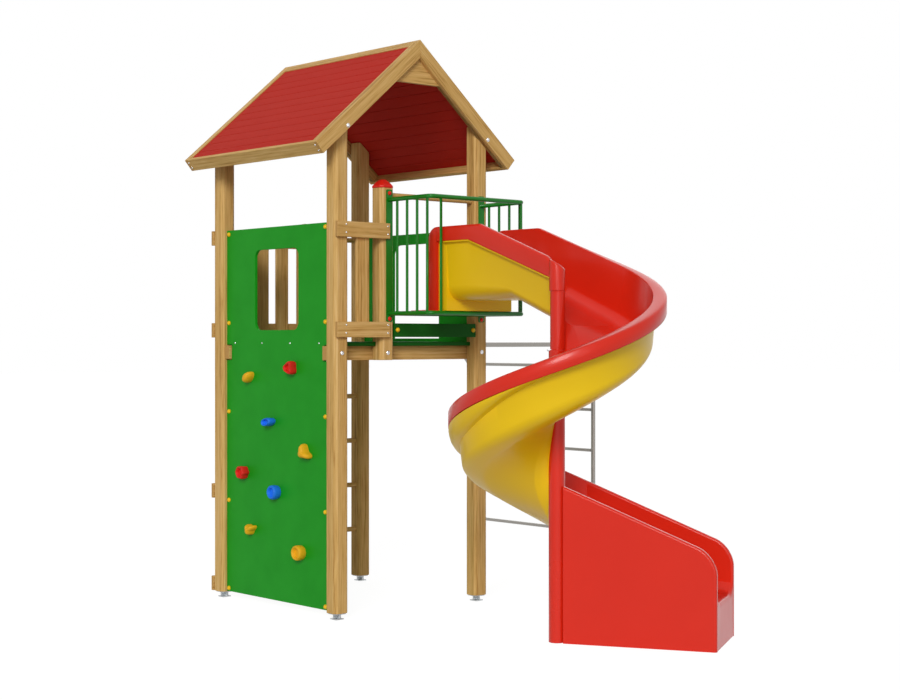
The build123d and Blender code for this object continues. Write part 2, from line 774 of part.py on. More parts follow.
def straight_section(y):
    """Numbers of the section across the straight part at y, measured across from the column's axis."""
    share = max(0.0, min(1.0, (blend_start - y) / (blend_start - column_y)))
    top = rim_height(slide_start_y - y, slide_rim_descent, slide_ease)
    near_top = rim_height(slide_start_y - y, near_rim_descent, near_rim_ease)
    growth = max(0.0, min(1.0, (slide_descent_y - y) / near_rim_ease))
    near_band = near_top - rim_depth - near_band_growth * growth
    floor_share = max(0.0, min(1.0, (slide_base_end_y - y) / (slide_base_end_y - column_y)))
    floor = slide_floor_start + (turn_rim - trough_depth - slide_floor_start) * floor_share
    inner = straight_left + (turn_inner - straight_left) * share
    outer = straight_right + (rim_outer_radius - straight_right) * share
    inner_rim = rim_width_straight + (turn_skin - rim_width_straight) * share
    outer_rim = rim_width_straight + (rim_width_turn - rim_width_straight) * share
    return inner, outer, inner_rim, outer_rim, top, floor, near_top, near_band


def turn_section(angle):
    """Numbers of the section at a turn angle, measured out from the column's axis."""
    share = max(0.0, (angle - 255.0) / (slide_turn - 255.0))
    outer = rim_outer_radius + (exit_outer - rim_outer_radius) * share
    outer_rim = rim_width_turn + (exit_wall - rim_width_turn) * share
    top = turn_rim - slide_drop_per_degree * angle
    return turn_inner, outer, turn_skin, outer_rim, top, top - trough_depth


sweep_length = slide_base_end_y - column_y
straight_ys = [frame_end_y, slide_descent_y, slide_descent_y - slide_ease, slide_descent_y - near_rim_ease / 2,
               slide_descent_y - near_rim_ease,
               slide_base_end_y + 0.2 * sweep_length, slide_base_end_y, column_y + 0.75 * sweep_length,
               column_y + 0.5 * sweep_length, column_y + 0.25 * sweep_length, column_y]
turn_angles = [slide_step * n for n in range(int(slide_turn / slide_step) + 1)]

# slide entry: the straight part, a red frame at its start, a base box and a pan that reaches back to the tower
box_bottom = rail_bottom_z + rail_diameter / 2 + seat_gap
box_half = slide_half - slide_base_inset
strip_half = slide_half - rim_width_straight + 2 * skin + skin_gap
box_top = slide_floor_start - 2 * skin - skin_gap
box_wall = 12.0
entry_shell_faces = []
entry_liner_faces = []
for y in straight_ys:
    numbers = straight_section(y)
    plane = section_plane(column_x, y, 0)
    with BuildSketch(plane) as shell_face:
        Polygon(*shell_outline(*numbers), align=None)
    with BuildSketch(plane) as liner_face:
        Polygon(*liner_outline(*numbers), align=None)
    entry_shell_faces.append(shell_face.sketch)
    entry_liner_faces.append(liner_face.sketch)

with BuildPart() as slide_entry_shell:
    loft(sections=entry_shell_faces, ruled=True)
    with BuildSketch(Plane.XY.offset(box_bottom)):
        with Locations((bay_centre_x, (frame_end_y + slide_box_end_y) / 2)):
            Rectangle(2 * box_half, frame_end_y - slide_box_end_y)
        with Locations((bay_centre_x, (frame_end_y + strip_end_y) / 2)):
            Rectangle(2 * strip_half, slide_strip_depth)
        with Locations((bay_centre_x, (frame_end_y + slide_box_end_y) / 2)):
            Rectangle(2 * (box_half - box_wall), frame_end_y - slide_box_end_y - 2 * box_wall,
                      mode=Mode.SUBTRACT)
    extrude(amount=box_top - box_bottom + skin / 2)
slide_entry_shell.part.label = "slide_entry_shell"
export_step(slide_entry_shell.part, "parts/slide_entry_shell.step")

pan_front = front_face - strip_thickness - 1
pan_length = pan_front - slide_start_y
corner = slide_frame_corner
frame_side = [(slide_start_y, box_bottom), (slide_start_y, slide_rim_start - corner),
              (slide_start_y - 0.08 * corner, slide_rim_start - 0.62 * corner),
              (slide_start_y - 0.3 * corner, slide_rim_start - 0.3 * corner),
              (slide_start_y - 0.62 * corner, slide_rim_start - 0.08 * corner),
              (slide_start_y - corner, slide_rim_start), (frame_end_y, slide_rim_start), (frame_end_y, box_bottom)]
frame_numbers = straight_section(slide_start_y)
frame_path = trough_path(*frame_numbers)
frame_rims = [(frame_path[0][0], slide_rim_start + 1)], [(frame_path[-1][0], slide_rim_start + 1)]
with BuildPart() as slide_entry_liner:
    with BuildSketch(Plane.YZ.offset(bay_centre_x - slide_half)):
        Polygon(*frame_side, align=None)
    extrude(amount=2 * slide_half)
    with BuildSketch(section_plane(column_x, slide_start_y + 1, 0)):
        Polygon(*(frame_rims[0] + frame_path[1:-1] + frame_rims[1]), align=None)
    extrude(amount=slide_frame_depth + 2, mode=Mode.SUBTRACT)
    loft(sections=entry_liner_faces, ruled=True)
    with BuildSketch(Plane.XY.offset(box_bottom)):
        with Locations((bay_centre_x, pan_front - pan_length / 2)):
            Rectangle(2 * box_half, pan_length)
    extrude(amount=pan_thickness)
slide_entry_liner.part.label = "slide_entry_liner"
export_step(slide_entry_liner.part, "parts/slide_entry_liner.step")

# slide turn: the trough winds round the column in ruled steps
turn_shell_faces = []
turn_liner_faces = []
for angle in turn_angles:
    numbers = turn_section(angle)
    plane = section_plane(column_x, column_y, -angle)
    with BuildSketch(plane) as shell_face:
        Polygon(*turn_shell_outline(*numbers), align=None)
    with BuildSketch(plane) as liner_face:
        Polygon(*turn_liner_outline(*numbers), align=None)
    turn_shell_faces.append(shell_face.sketch)
    turn_liner_faces.append(liner_face.sketch)

exit_start = column_diameter / 2 + seat_gap
exit_heading = -slide_turn
exit_across = (math.cos(math.radians(exit_heading)), math.sin(math.radians(exit_heading)))
exit_along = (math.sin(math.radians(exit_heading)), -math.cos(math.radians(exit_heading)))
exit_top_start = exit_rim - exit_top_slope * exit_start
chute_start = exit_rim - trough_depth - 0.55 * exit_start
throat = turn_section(slide_turn)[:4] + (exit_top_start, chute_start)
throat_plane = section_plane(column_x + exit_along[0] * exit_start, column_y + exit_along[1] * exit_start,
                             exit_heading)
with BuildSketch(throat_plane) as throat_shell_face:
    Polygon(*turn_shell_outline(*throat), align=None)
with BuildSketch(throat_plane) as throat_liner_face:
    Polygon(*turn_liner_outline(*throat), align=None)
turn_shell_faces.append(throat_shell_face.sketch)
turn_liner_faces.append(throat_liner_face.sketch)

with BuildPart() as slide_turn_shell:
    loft(sections=turn_shell_faces, ruled=True)
slide_turn_shell.part.label = "slide_turn_shell"
export_step(slide_turn_shell.part, "parts/slide_turn_shell.step")

with BuildPart() as slide_turn_liner:
    loft(sections=turn_liner_faces, ruled=True)
slide_turn_liner.part.label = "slide_turn_liner"
export_step(slide_turn_liner.part, "parts/slide_turn_liner.step")

# column that the slide winds round: its top is cut to the fall of the rim beside it
radius = column_diameter / 2
column_plane = Plane(origin=(column_x, column_y, 0), x_dir=(0.75, -0.66, 0), z_dir=(-0.66, -0.75, 0))
with BuildPart() as slide_column:
    with BuildSketch(Plane.XY):
        with Locations((column_x, column_y)):
            Circle(column_diameter / 2)
    extrude(amount=column_top)
    with BuildSketch(column_plane):
        Polygon((-radius, column_top), (radius, column_top - 2 * radius * column_cut), (radius, column_top), align=None)
    extrude(amount=radius, both=True, mode=Mode.SUBTRACT)
slide_column.part.label = "slide_column"
export_step(slide_column.part, "parts/slide_column.step")

# slide exit: a box on the ground with thick side walls and a sloping chute
def exit_plane(across):
    """The upright plane along the exit, across millimetres from the column's axis."""
    origin = (column_x + exit_across[0] * across, column_y + exit_across[1] * across, 0)
    return Plane(origin=origin, x_dir=(exit_along[0], exit_along[1], 0),
                 z_dir=(exit_across[0] * -1, exit_across[1] * -1, 0))


def exit_side_outline(rise):
    """Side view of an exit wall: ground, sloping top and a rounded end."""
    knee = exit_length - exit_corner
    knee_z = exit_rim + rise - exit_top_slope * knee
    return [(exit_start, 0), (exit_start, exit_top_start + rise), (knee, knee_z),
            (exit_length - 0.53 * exit_corner, knee_z - 0.43 * exit_corner),
            (exit_length - 0.18 * exit_corner, knee_z - 0.85 * exit_corner),
            (exit_length, knee_z - 1.4 * exit_corner), (exit_length, 0)]


chute_fall = chute_start - exit_lip
chute_points = [(share * exit_length, exit_lip + height * chute_fall)
                for share, height in ((0.322, 0.586), (0.619, 0.215), (0.854, 0.039))]
chute_line = [(exit_start, chute_start)] + chute_points + [(exit_length, exit_lip)]
chute_under = [(along, height - exit_skin) for along, height in reversed(chute_points)]
chute_back = [(exit_length, 0), (exit_length - exit_skin, 0), (exit_length - exit_skin, exit_lip - exit_skin)]
chute_back += chute_under + [(exit_start, chute_start - exit_skin)]
with BuildPart() as slide_exit:
    with BuildSketch(exit_plane(exit_near)):
        Polygon(*exit_side_outline(exit_near_rise), align=None)
    extrude(amount=-exit_wall)
    with BuildSketch(exit_plane(exit_far - exit_wall)):
        Polygon(*exit_side_outline(0), align=None)
    extrude(amount=-exit_wall)
    with BuildSketch(exit_plane(exit_near + exit_wall)):
        Polygon(*(chute_line + chute_back), align=None)
    extrude(amount=-(exit_far - exit_near - 2 * exit_wall))
slide_exit.part.label = "slide_exit"
export_step(slide_exit.part, "parts/slide_exit.step")

# steel arch climber on the right side
climber_radius = climber_tube / 2
climber_z = climber_top - climber_radius
climber_x = bay_x + climber_reach
with BuildPart() as climber_tubes:
    for tube_y in (0, bay_y):
        with BuildLine() as tube_path:
            FilletPolyline((bay_x + half, tube_y, climber_z), (climber_x, tube_y, climber_z),
                           (climber_x, tube_y, 0), radius=climber_bend)
        with BuildSketch(Plane(origin=(bay_x + half, tube_y, climber_z), z_dir=(1, 0, 0))) as tube_end:
            Circle(climber_radius)
        sweep(sections=tube_end.sketch, path=tube_path.wire())
climber_tubes.part.label = "climber_tubes"
export_step(climber_tubes.part, "parts/climber_tubes.step")

climber_gap = bay_y - climber_tube
upright_rungs = [(climber_x, climber_rung_first + n * climber_rung_pitch) for n in range(4)]
bend_angle = math.radians(42.0)
bend_rung = (climber_x - climber_bend + climber_bend * math.cos(bend_angle),
             climber_z - climber_bend + climber_bend * math.sin(bend_angle))
level_start = bay_x + half
level_run = climber_x - climber_bend - level_start
level_rungs = [(level_start + share * level_run, climber_z) for share in (0.968, 0.568)]
with BuildPart() as climber_rungs:
    with BuildSketch(Plane.XZ.offset(-climber_radius)):
        with Locations(*upright_rungs, bend_rung, *level_rungs):
            Circle(climber_rung / 2)
    extrude(amount=-climber_gap)
climber_rungs.part.label = "climber_rungs"
export_step(climber_rungs.part, "parts/climber_rungs.step")

# climbing holds on the panel's outer face, grouped by colour; places are shares of the panel and the deck height
hold_depth = 55.0
hold_length = 86.0
hold_width = 48.0
puck_radius = 37.0
yellow_holds = ((0.751, 0.865, 62), (0.208, 0.591, 75), (0.731, 0.280, 12))


def hold_spot(across, up):
    """A place on the climbing panel's face."""
    return (half + across * panel_width, up * deck_top)


with BuildPart() as climbing_holds_yellow:
    with BuildSketch(Plane.YZ.offset(climbing_panel_x)):
        for across, up, turn in yellow_holds:
            spot_y, spot_z = hold_spot(across, up)
            with Locations(Location((spot_y, spot_z, 0), (0, 0, turn))):
                Ellipse(hold_length / 2, hold_width / 2)
        with Locations(hold_spot(0.254, 0.223)):
            Circle(puck_radius)
    extrude(amount=-hold_depth)
    chamfer(climbing_holds_yellow.edges().group_by(Axis.X)[0], 0.11 * hold_depth)
climbing_holds_yellow.part.label = "climbing_holds_yellow"
export_step(climbing_holds_yellow.part, "parts/climbing_holds_yellow.step")

with BuildPart() as climbing_holds_blue:
    with BuildSketch(Plane.YZ.offset(climbing_panel_x)):
        with Locations(hold_spot(0.546, 0.698)):
            SlotOverall(1.16 * hold_length, 1.08 * hold_width)
        with Locations(hold_spot(0.490, 0.435)):
            Circle(puck_radius)
    extrude(amount=-hold_depth)
    chamfer(climbing_holds_blue.edges().group_by(Axis.X)[0], 0.14 * hold_depth)
climbing_holds_blue.part.label = "climbing_holds_blue"
export_step(climbing_holds_blue.part, "parts/climbing_holds_blue.step")

lobe = 0.7 * puck_radius
with BuildPart() as climbing_holds_red:
    for low, high, trim in ((0, 0.75, 0), (0.75, 1, 0.16 * puck_radius)):
        with BuildSketch(Plane.YZ.offset(climbing_panel_x - low * hold_depth)):
            with Locations(hold_spot(0.334, 0.903)):
                with PolarLocations(0.85 * lobe, 3):
                    Circle(lobe - trim)
            with Locations(hold_spot(0.808, 0.498)):
                with PolarLocations(lobe, 5):
                    Circle(0.77 * lobe - trim)
            with Locations(hold_spot(0.808, 0.498)):
                Circle(1.08 * lobe - trim)
        extrude(amount=(low - high) * hold_depth)
climbing_holds_red.part.label = "climbing_holds_red"
export_step(climbing_holds_red.part, "parts/climbing_holds_red.step")
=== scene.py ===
"""Looks of the play tower: finishes, eased edges, roof boards, fasteners, holds and a spiral slide."""
import math
import random

import bmesh
import bpy
from mathutils import Matrix, Vector


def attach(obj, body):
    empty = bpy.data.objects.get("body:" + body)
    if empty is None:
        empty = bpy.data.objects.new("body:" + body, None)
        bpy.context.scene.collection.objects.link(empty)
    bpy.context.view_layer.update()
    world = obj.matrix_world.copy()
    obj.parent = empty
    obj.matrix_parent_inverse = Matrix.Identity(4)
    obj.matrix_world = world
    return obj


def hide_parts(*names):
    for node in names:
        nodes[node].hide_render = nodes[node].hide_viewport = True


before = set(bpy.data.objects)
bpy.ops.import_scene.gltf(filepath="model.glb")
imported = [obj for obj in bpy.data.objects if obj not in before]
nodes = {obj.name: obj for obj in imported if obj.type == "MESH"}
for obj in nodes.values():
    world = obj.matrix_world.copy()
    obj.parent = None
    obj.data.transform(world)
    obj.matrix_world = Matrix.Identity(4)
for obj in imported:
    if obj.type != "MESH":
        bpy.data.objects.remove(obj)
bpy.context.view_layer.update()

MM = 0.001

# directions in the tower's frame
UP = (0, 0, 1)
LEFT = (-1, 0, 0)
RIGHT = (1, 0, 0)
FRONT = (0, -1, 0)
BACK = (0, 1, 0)

# plan and heights of the tower, in millimetres
POST = 95.0
HALF = POST / 2
BAY_X = 1015.0
BAY_Y = 1090.0
MID_X = BAY_X / 2
LADDER_POST_X = 588.5
PANEL_FACE_X = -14.6
PORTAL_FACE_X = BAY_X + 14.6
FRONT_FACE = -HALF
BACK_FACE = BAY_Y + HALF
PLANK = 20.0
BAY_CENTRE_X = 666.0

# roof
RIDGE_Z = 3181.0
ROOF_ANGLE = math.radians(40.75)
RAFTER_LENGTH = 931.0
RIDGE_BOARD = 53.0
BOARD_PITCH = 74.4
SLOPE_DROP = 4.0
SLOPE_THICKNESS = 18.0
SLOPE_FRONT = FRONT_FACE - 0.5
SLOPE_BACK = BACK_FACE + 0.5
BOARD_JOINT = 1.6
GABLE_BOARD = 25.0
ROOF_FRONT = SLOPE_FRONT - 2 * GABLE_BOARD
ROOF_BACK = SLOPE_BACK + 2 * GABLE_BOARD
BARGE_HEIGHT = 77.0
GUSSET_FOOT_Z = 2940.0
FASCIA_FACE = 951.0

# climber: its rung in the bend sits a little further round than its solid
BEND_RUNG_LOW = 1300.0
BEND_RUNG_HIGH = 1440.0
BEND_RUNG_SHIFT = (26.0, 0.0, -33.0)

# slide: its axis, its entry, its straight part, its turn, its column and its exit
AXIS_X = 412.0
AXIS_Y = -1272.0
SLIDE_HALF = 258.0
START_Y = -284.0
FRAME_END_Y = -350.0
FRAME_CORNER = 58.0
STRIP_END_Y = -413.0
LEVEL_END_Y = -628.0
BLEND_Y = -908.0
NEAR_BLEND_Y = -1090.0
PAN_HALF = 190.0
BOX_BOTTOM = 1669.05
PAN_FRONT = -53.5
RIM_START = 2124.0
FAR_DESCENT = 0.366
RIM_EASE = 20.0
NEAR_LEVEL_END_Y = -678.0
NEAR_DESCENT = 0.3734
NEAR_BAND_LEVEL_END_Y = -602.0
NEAR_BAND_DESCENT = 0.353
NEAR_WALL_DROP = 50.0
NEAR_WALL_DROP_Y = -1185.0
FLOOR_START = 1738.0
FLOOR_FALL_Y = -885.0
FLOOR_EASE = 50.0
BOWL_TOP = 90.0
BOWL_FADE = 80.0
NEAR_BOWL = 72.0
FAR_BOWL = 105.0
NEAR_LEAN = 14.0
FAR_LEAN = 20.0
STATION_STEP = 15.0
TURN = 330.0
TURN_STEPS = 132
NARROWING_ANGLE = 250.0
DROP_PER_DEGREE = 3.345
TURN_INNER = 24.0
RIM_RADIUS = 546.0
RIM_DEPTH = 80.0
RIM_WIDTH = 69.0
LIP_START = 3.0
LIP_FULL = 88.0
LIP_ANGLE = 140.0
LIP_GROWTH = 65.0
STRAIGHT_RIM = 30.0
TROUGH_DEPTH = 308.0
COLUMN_LIFT = 148.0
COLUMN_TOP = 1919.0
COLUMN_CUT = 0.64
# the cut through the top sleeve falls to this side
CUT_SIDE = Vector((0.75, -0.66, 0))
# each sleeve's radius, its ends, and how far it stands off the column's axis
SLEEVES = ((41.0, 0.0, 1461.0, -1.5), (37.5, 1461.0, 1756.0, 2.5), (40.0, 1756.0, 1945.0, 0))
LUG_Z = 1455.0
LUG_TURN = math.radians(-41.3)
SKIN = 6.0
FLANGE = 8.0
EXIT_NEAR = -37.0
EXIT_NEAR_RISE = 10.0
EXIT_FAR = 480.0
EXIT_LENGTH = 808.0
EXIT_WALL = 37.0
EXIT_START = 40.2
EXIT_TOP_SLOPE = 0.4115
EXIT_FLOOR_SLOPE = 0.55
EXIT_LIP = 225.0
EXIT_CORNER = 100.0
EXIT_EDGE = 13.0
CHUTE_ROWS = 24
CHUTE_STEPS = 14
CHUTE_BEND = 1.5
CHUTE_FILLET = 75.0
CHUTE_RISE = 55.0

# studio: the floor's share of white glow, and the world's light on the tower
FLOOR_GLOW = 0.78
WORLD_LIGHT = 0.27


# shader helpers
def linear(hex_colour):
    """An sRGB hex colour as the linear colour that a shader socket takes."""
    parts = [int(hex_colour[i:i + 2], 16) / 255 for i in (1, 3, 5)]
    return [c / 12.92 if c <= 0.04045 else ((c + 0.055) / 1.055) ** 2.4 for c in parts] + [1.0]


def add(tree, kind, inputs=None, **settings):
    """Adds a shader node. Inputs are values or other nodes' outputs, settings are its properties."""
    made = tree.nodes.new("ShaderNode" + kind)
    for name, value in settings.items():
        setattr(made, name, value)
    for name, value in (inputs or {}).items():
        if isinstance(value, bpy.types.NodeSocket):
            tree.links.new(value, made.inputs[name])
        else:
            made.inputs[name].default_value = value
    return made


def new_finish(name, **shader_values):
    """A material with a Principled shader: returns the material, its node tree and the shader."""
    material = bpy.data.materials.new(name)
    material.use_nodes = True
    tree = material.node_tree
    shader = tree.nodes["Principled BSDF"]
    for socket, value in shader_values.items():
        shader.inputs[socket.replace("_", " ")].default_value = value
    return material, tree, shader


def skin(tree, shader, share, first, second, rough=None, relief=None):
    """Finishes a shader: a share from 0 to 1 blends two colours.

    rough is a pattern and the roughness at its 0 and 1; relief is a pattern, its real depth in millimetres
    and its strength.
    """
    colour = add(tree, "Mix", {0: share, 6: first, 7: second}, data_type="RGBA")
    tree.links.new(colour.outputs[2], shader.inputs["Base Color"])
    if rough:
        pattern, low, high = rough
        spread = add(tree, "MapRange", {"Value": pattern, "To Min": low, "To Max": high})
        tree.links.new(spread.outputs["Result"], shader.inputs["Roughness"])
    if relief:
        pattern, depth, strength = relief
        bumps = add(tree, "Bump", {"Height": pattern, "Distance": depth * MM, "Strength": strength})
        tree.links.new(bumps.outputs["Normal"], shader.inputs["Normal"])


def backdrop_share(tree):
    """1 where the camera or a reflection sees the backdrop, 0 where the backdrop lights the tower."""
    rays = add(tree, "LightPath")
    return add(tree, "Math", {0: rays.outputs["Is Camera Ray"], 1: rays.outputs["Is Glossy Ray"]},
               operation="MAXIMUM").outputs[0]


# finishes
def grain_layers(tree, place):
    """Streaks, wandering growth rings, a slow change of tone, and knots, all along the grain."""
    stretched = add(tree, "Mapping", {"Vector": place, "Scale": (1, 1, 0.035)}).outputs["Vector"]
    # earlywood streaks about 7 mm wide, drawn twice the real width so that they show from ten metres
    streaks = add(tree, "TexNoise", {"Vector": stretched, "Scale": 145, "Detail": 5, "Roughness": 0.62})
    rings = add(tree, "TexWave", {"Vector": stretched, "Scale": 14.5, "Distortion": 5.0, "Detail": 3,
                                  "Detail Scale": 0.55, "Detail Roughness": 0.6},
                wave_type="RINGS", rings_direction="Z")
    slow = add(tree, "TexNoise", {"Vector": stretched, "Scale": 22, "Detail": 2, "Roughness": 0.5})
    # knots some 12 mm across, one every few hundred millimetres
    knot_place = add(tree, "Mapping", {"Vector": place, "Scale": (1, 1, 0.42)}).outputs["Vector"]
    knots = add(tree, "TexVoronoi", {"Vector": knot_place, "Scale": 4.6, "Randomness": 1.0})
    knot = add(tree, "MapRange", {"Value": knots.outputs["Distance"], "From Min": 0.022, "From Max": 0.05,
                                  "To Min": 1.0, "To Max": 0.0}, interpolation_type="SMOOTHSTEP")
    return streaks.outputs["Fac"], rings.outputs["Fac"], slow.outputs["Fac"], knot.outputs["Result"]


def oiled_timber():
    """Glue-laminated larch, planed and oiled: warm tan, with darker streaks along the piece."""
    material, tree, shader = new_finish("oiled_laminated_larch", Roughness=0.6, IOR=1.48,
                                        Specular_IOR_Level=0.15)
    place = add(tree, "Attribute", attribute_name="grain").outputs["Vector"]
    streaks, rings, slow, knot = grain_layers(tree, place)
    ringed = add(tree, "Math", {0: rings, 1: 0.1, 2: 0.08}, operation="MULTIPLY_ADD").outputs[0]
    mixed = add(tree, "Math", {0: streaks, 1: 0.86, 2: ringed}, operation="MULTIPLY_ADD").outputs[0]
    toned = add(tree, "Math", {0: slow, 1: 0.42, 2: mixed}, operation="MULTIPLY_ADD").outputs[0]
    ramp = add(tree, "ValToRGB", {"Fac": toned})
    stops = ramp.color_ramp.elements
    stops[0].position, stops[0].color = 0.50, linear("#8E6632")
    stops[1].position, stops[1].color = 0.98, linear("#DDB97E")
    for position, colour in ((0.62, "#B28748"), (0.72, "#C99F5C"), (0.84, "#D3AB68")):
        stop = stops.new(position)
        stop.color = linear(colour)
    knotted = add(tree, "Mix", {0: knot, 6: ramp.outputs["Color"], 7: linear("#5E3A1C")}, data_type="RGBA")
    # cut ends show end grain: a little duller than the planed faces
    ends = add(tree, "Attribute", attribute_name="end_grain").outputs["Fac"]
    level = add(tree, "MapRange", {"Value": streaks, "From Min": 0.3, "From Max": 0.7}).outputs["Result"]
    skin(tree, shader, ends, knotted.outputs[2], linear("#BC9154"), (level, 0.66, 0.5),
         (streaks, 0.6, 0.5))
    return material


def painted_boards():
    """Spruce boards under red stain: the grain still lifts the coat, and each board differs a little."""
    material, tree, shader = new_finish("red_stained_spruce", Roughness=0.6, IOR=1.5,
                                        Specular_IOR_Level=0.03)
    place = add(tree, "Attribute", attribute_name="grain").outputs["Vector"]
    streaks, _, _, knot = grain_layers(tree, place)
    board = add(tree, "Attribute", attribute_name="board_tone").outputs["Fac"]
    streaked = add(tree, "Mix", {0: streaks, 6: linear("#B0241A"), 7: linear("#C83528")}, data_type="RGBA")
    toned = add(tree, "Mix", {0: board, 6: streaked.outputs[2], 7: linear("#BE2A1E")}, data_type="RGBA")
    knotted = add(tree, "Math", {0: knot, 1: 0.5}, operation="MULTIPLY").outputs[0]
    skin(tree, shader, knotted, toned.outputs[2], linear("#7E1B14"), relief=(streaks, 0.5, 0.5))
    return material


def moulded(name, colour, deep, roughness, peel_mm, coat=0.0, sheen_level=0.2):
    """Rotation-moulded polyethylene or a small moulded part: even colour with a faint orange peel."""
    material, tree, shader = new_finish(name, Roughness=roughness, IOR=1.51, Coat_Weight=coat,
                                        Coat_Roughness=0.14, Specular_IOR_Level=sheen_level)
    place = add(tree, "TexCoord").outputs["Object"]
    cloudy = add(tree, "TexNoise", {"Vector": place, "Scale": 3.5, "Detail": 2, "Roughness": 0.5})
    level = add(tree, "MapRange", {"Value": cloudy.outputs["Fac"], "From Min": 0.2, "From Max": 0.8}
                ).outputs["Result"]
    share = add(tree, "Math", {0: level, 1: 0.4}, operation="MULTIPLY").outputs[0]
    # the peel of the mould is 2 to 3 mm wide
    peel = add(tree, "TexNoise", {"Vector": place, "Scale": 1 / (2.4 * peel_mm * MM), "Detail": 2})
    skin(tree, shader, share, linear(colour), linear(deep), (level, roughness - 0.03, roughness + 0.06),
         (peel.outputs["Fac"], 0.05, 0.35))
    return material


def plate(name, colour, deep, roughness, grain_mm):
    """Solid-coloured polyethylene or laminate sheet with a fine leather grain pressed into its faces."""
    material, tree, shader = new_finish(name, Roughness=roughness, IOR=1.5, Specular_IOR_Level=0.12)
    place = add(tree, "TexCoord").outputs["Object"]
    grain = add(tree, "TexVoronoi", {"Vector": place, "Scale": 1 / (grain_mm * MM), "Randomness": 1.0},
                feature="SMOOTH_F1")
    wear = add(tree, "TexNoise", {"Vector": place, "Scale": 6, "Detail": 4, "Roughness": 0.6})
    share = add(tree, "MapRange", {"Value": wear.outputs["Fac"], "From Min": 0.35, "From Max": 0.7,
                                   "To Min": 0.0, "To Max": 0.5}).outputs["Result"]
    skin(tree, shader, share, linear(colour), linear(deep),
         (wear.outputs["Fac"], roughness - 0.06, roughness + 0.1), (grain.outputs["Distance"], 0.15, 0.4))
    return material


def powder_coat(name, colour, deep):
    """Polyester powder on steel tube: glossy, with the slight waviness of the fused powder."""
    material, tree, shader = new_finish(name, Roughness=0.32, IOR=1.5, Specular_IOR_Level=0.2,
                                        Coat_Weight=0.2, Coat_Roughness=0.1)
    place = add(tree, "TexCoord").outputs["Object"]
    wave = add(tree, "TexNoise", {"Vector": place, "Scale": 380, "Detail": 2})
    cloudy = add(tree, "TexNoise", {"Vector": place, "Scale": 12, "Detail": 3})
    skin(tree, shader, cloudy.outputs["Fac"], linear(colour), linear(deep),
         relief=(wave.outputs["Fac"], 0.06, 0.5))
    return material


def zinc():
    """Hot-dip galvanised steel: a grey metal with zinc crystals a few millimetres wide."""
    material, tree, shader = new_finish("galvanised_steel", Metallic=0.85, Roughness=0.42)
    place = add(tree, "TexCoord").outputs["Object"]
    spangle = add(tree, "TexVoronoi", {"Vector": place, "Scale": 130, "Randomness": 1.0})
    tone = add(tree, "SeparateColor", {"Color": spangle.outputs["Color"]}).outputs["Red"]
    skin(tree, shader, tone, linear("#A4A8AA"), linear("#CDD0D2"), (tone, 0.34, 0.5), (tone, 0.03, 0.4))
    return material


def brushed_steel():
    """Ground stainless tube: warm metal with fine scratches round the tube; its grey is painted darker
    than bare steel, a painted reflection of dark surroundings.
    """
    material, tree, shader = new_finish("ground_stainless_tube", Metallic=0.9, Roughness=0.36)
    place = add(tree, "TexCoord").outputs["Object"]
    noise = add(tree, "TexNoise", {"Vector": place, "Scale": 260, "Detail": 3, "Roughness": 0.6})
    marks = noise.outputs["Fac"]
    # both tones are darker than bare stainless: painted reflection of dark surroundings, with real scratch
    # marks between them
    skin(tree, shader, marks, linear("#85817B"), linear("#B4B0AA"), (marks, 0.28, 0.46))
    return material


def bright_steel():
    """Stainless fasteners: pale metal with fine turning marks."""
    material, tree, shader = new_finish("stainless_fastener", Metallic=1.0, Roughness=0.24)
    place = add(tree, "TexCoord").outputs["Object"]
    marks = add(tree, "TexNoise", {"Vector": place, "Scale": 900, "Detail": 2}).outputs["Fac"]
    skin(tree, shader, marks, linear("#C4C7CB"), linear("#E3E4E6"), (marks, 0.18, 0.34))
    return material


def cast_resin(name, colour, deep):
    """Polyester resin with sand: the gritty skin of a climbing hold."""
    material, tree, shader = new_finish(name, Roughness=0.5, IOR=1.52, Specular_IOR_Level=0.25)
    place = add(tree, "TexCoord").outputs["Object"]
    noise = add(tree, "TexNoise", {"Vector": place, "Scale": 520, "Detail": 4, "Roughness": 0.7})
    grit = noise.outputs["Fac"]
    skin(tree, shader, grit, linear(deep), linear(colour), (grit, 0.45, 0.7), (grit, 0.5, 0.5))
    return material


timber = oiled_timber()
roof_boards = painted_boards()
green_sheet = plate("green_polyethylene_sheet", "#179619", "#138816", 0.42, 1.6)
deck_sheet = plate("green_deck_sheet", "#0F5C10", "#0A4C0C", 0.55, 4.0)
green_coat = powder_coat("green_powder_coat", "#0F7E18", "#0B6E13")
red_shell = moulded("red_polyethylene", "#DC2812", "#D0210D", 0.3, 1.0, 0.2)
yellow_shell = moulded("yellow_polyethylene", "#EFC610", "#E8BA0D", 0.36, 1.0, 0.1)
red_tube = moulded("red_column_sleeve", "#DC2812", "#CE200D", 0.28, 0.8, 0.25)
red_cap = moulded("red_nylon_cap", "#E22414", "#C91D10", 0.32, 0.6)
yellow_cap = moulded("yellow_nylon_cap", "#F4C21A", "#E5AE14", 0.32, 0.6)
stainless = bright_steel()
brushed = brushed_steel()
galvanised = zinc()
resin_yellow = cast_resin("yellow_cast_resin", "#F3BC1E", "#D99A12")
resin_blue = cast_resin("blue_cast_resin", "#2380F0", "#1466D8")
resin_red = cast_resin("red_cast_resin", "#E5281C", "#C41C12")


# mesh helpers
def centre_of(verts):
    """The mean place of some vertices."""
    return sum((vert.co for vert in verts), Vector()) / len(verts)


def open_line(bm, places):
    """Joins places, in metres, into an open line; returns its vertices and its edges."""
    verts = [bm.verts.new(place) for place in places]
    return verts, [bm.edges.new(pair) for pair in zip(verts, verts[1:])]


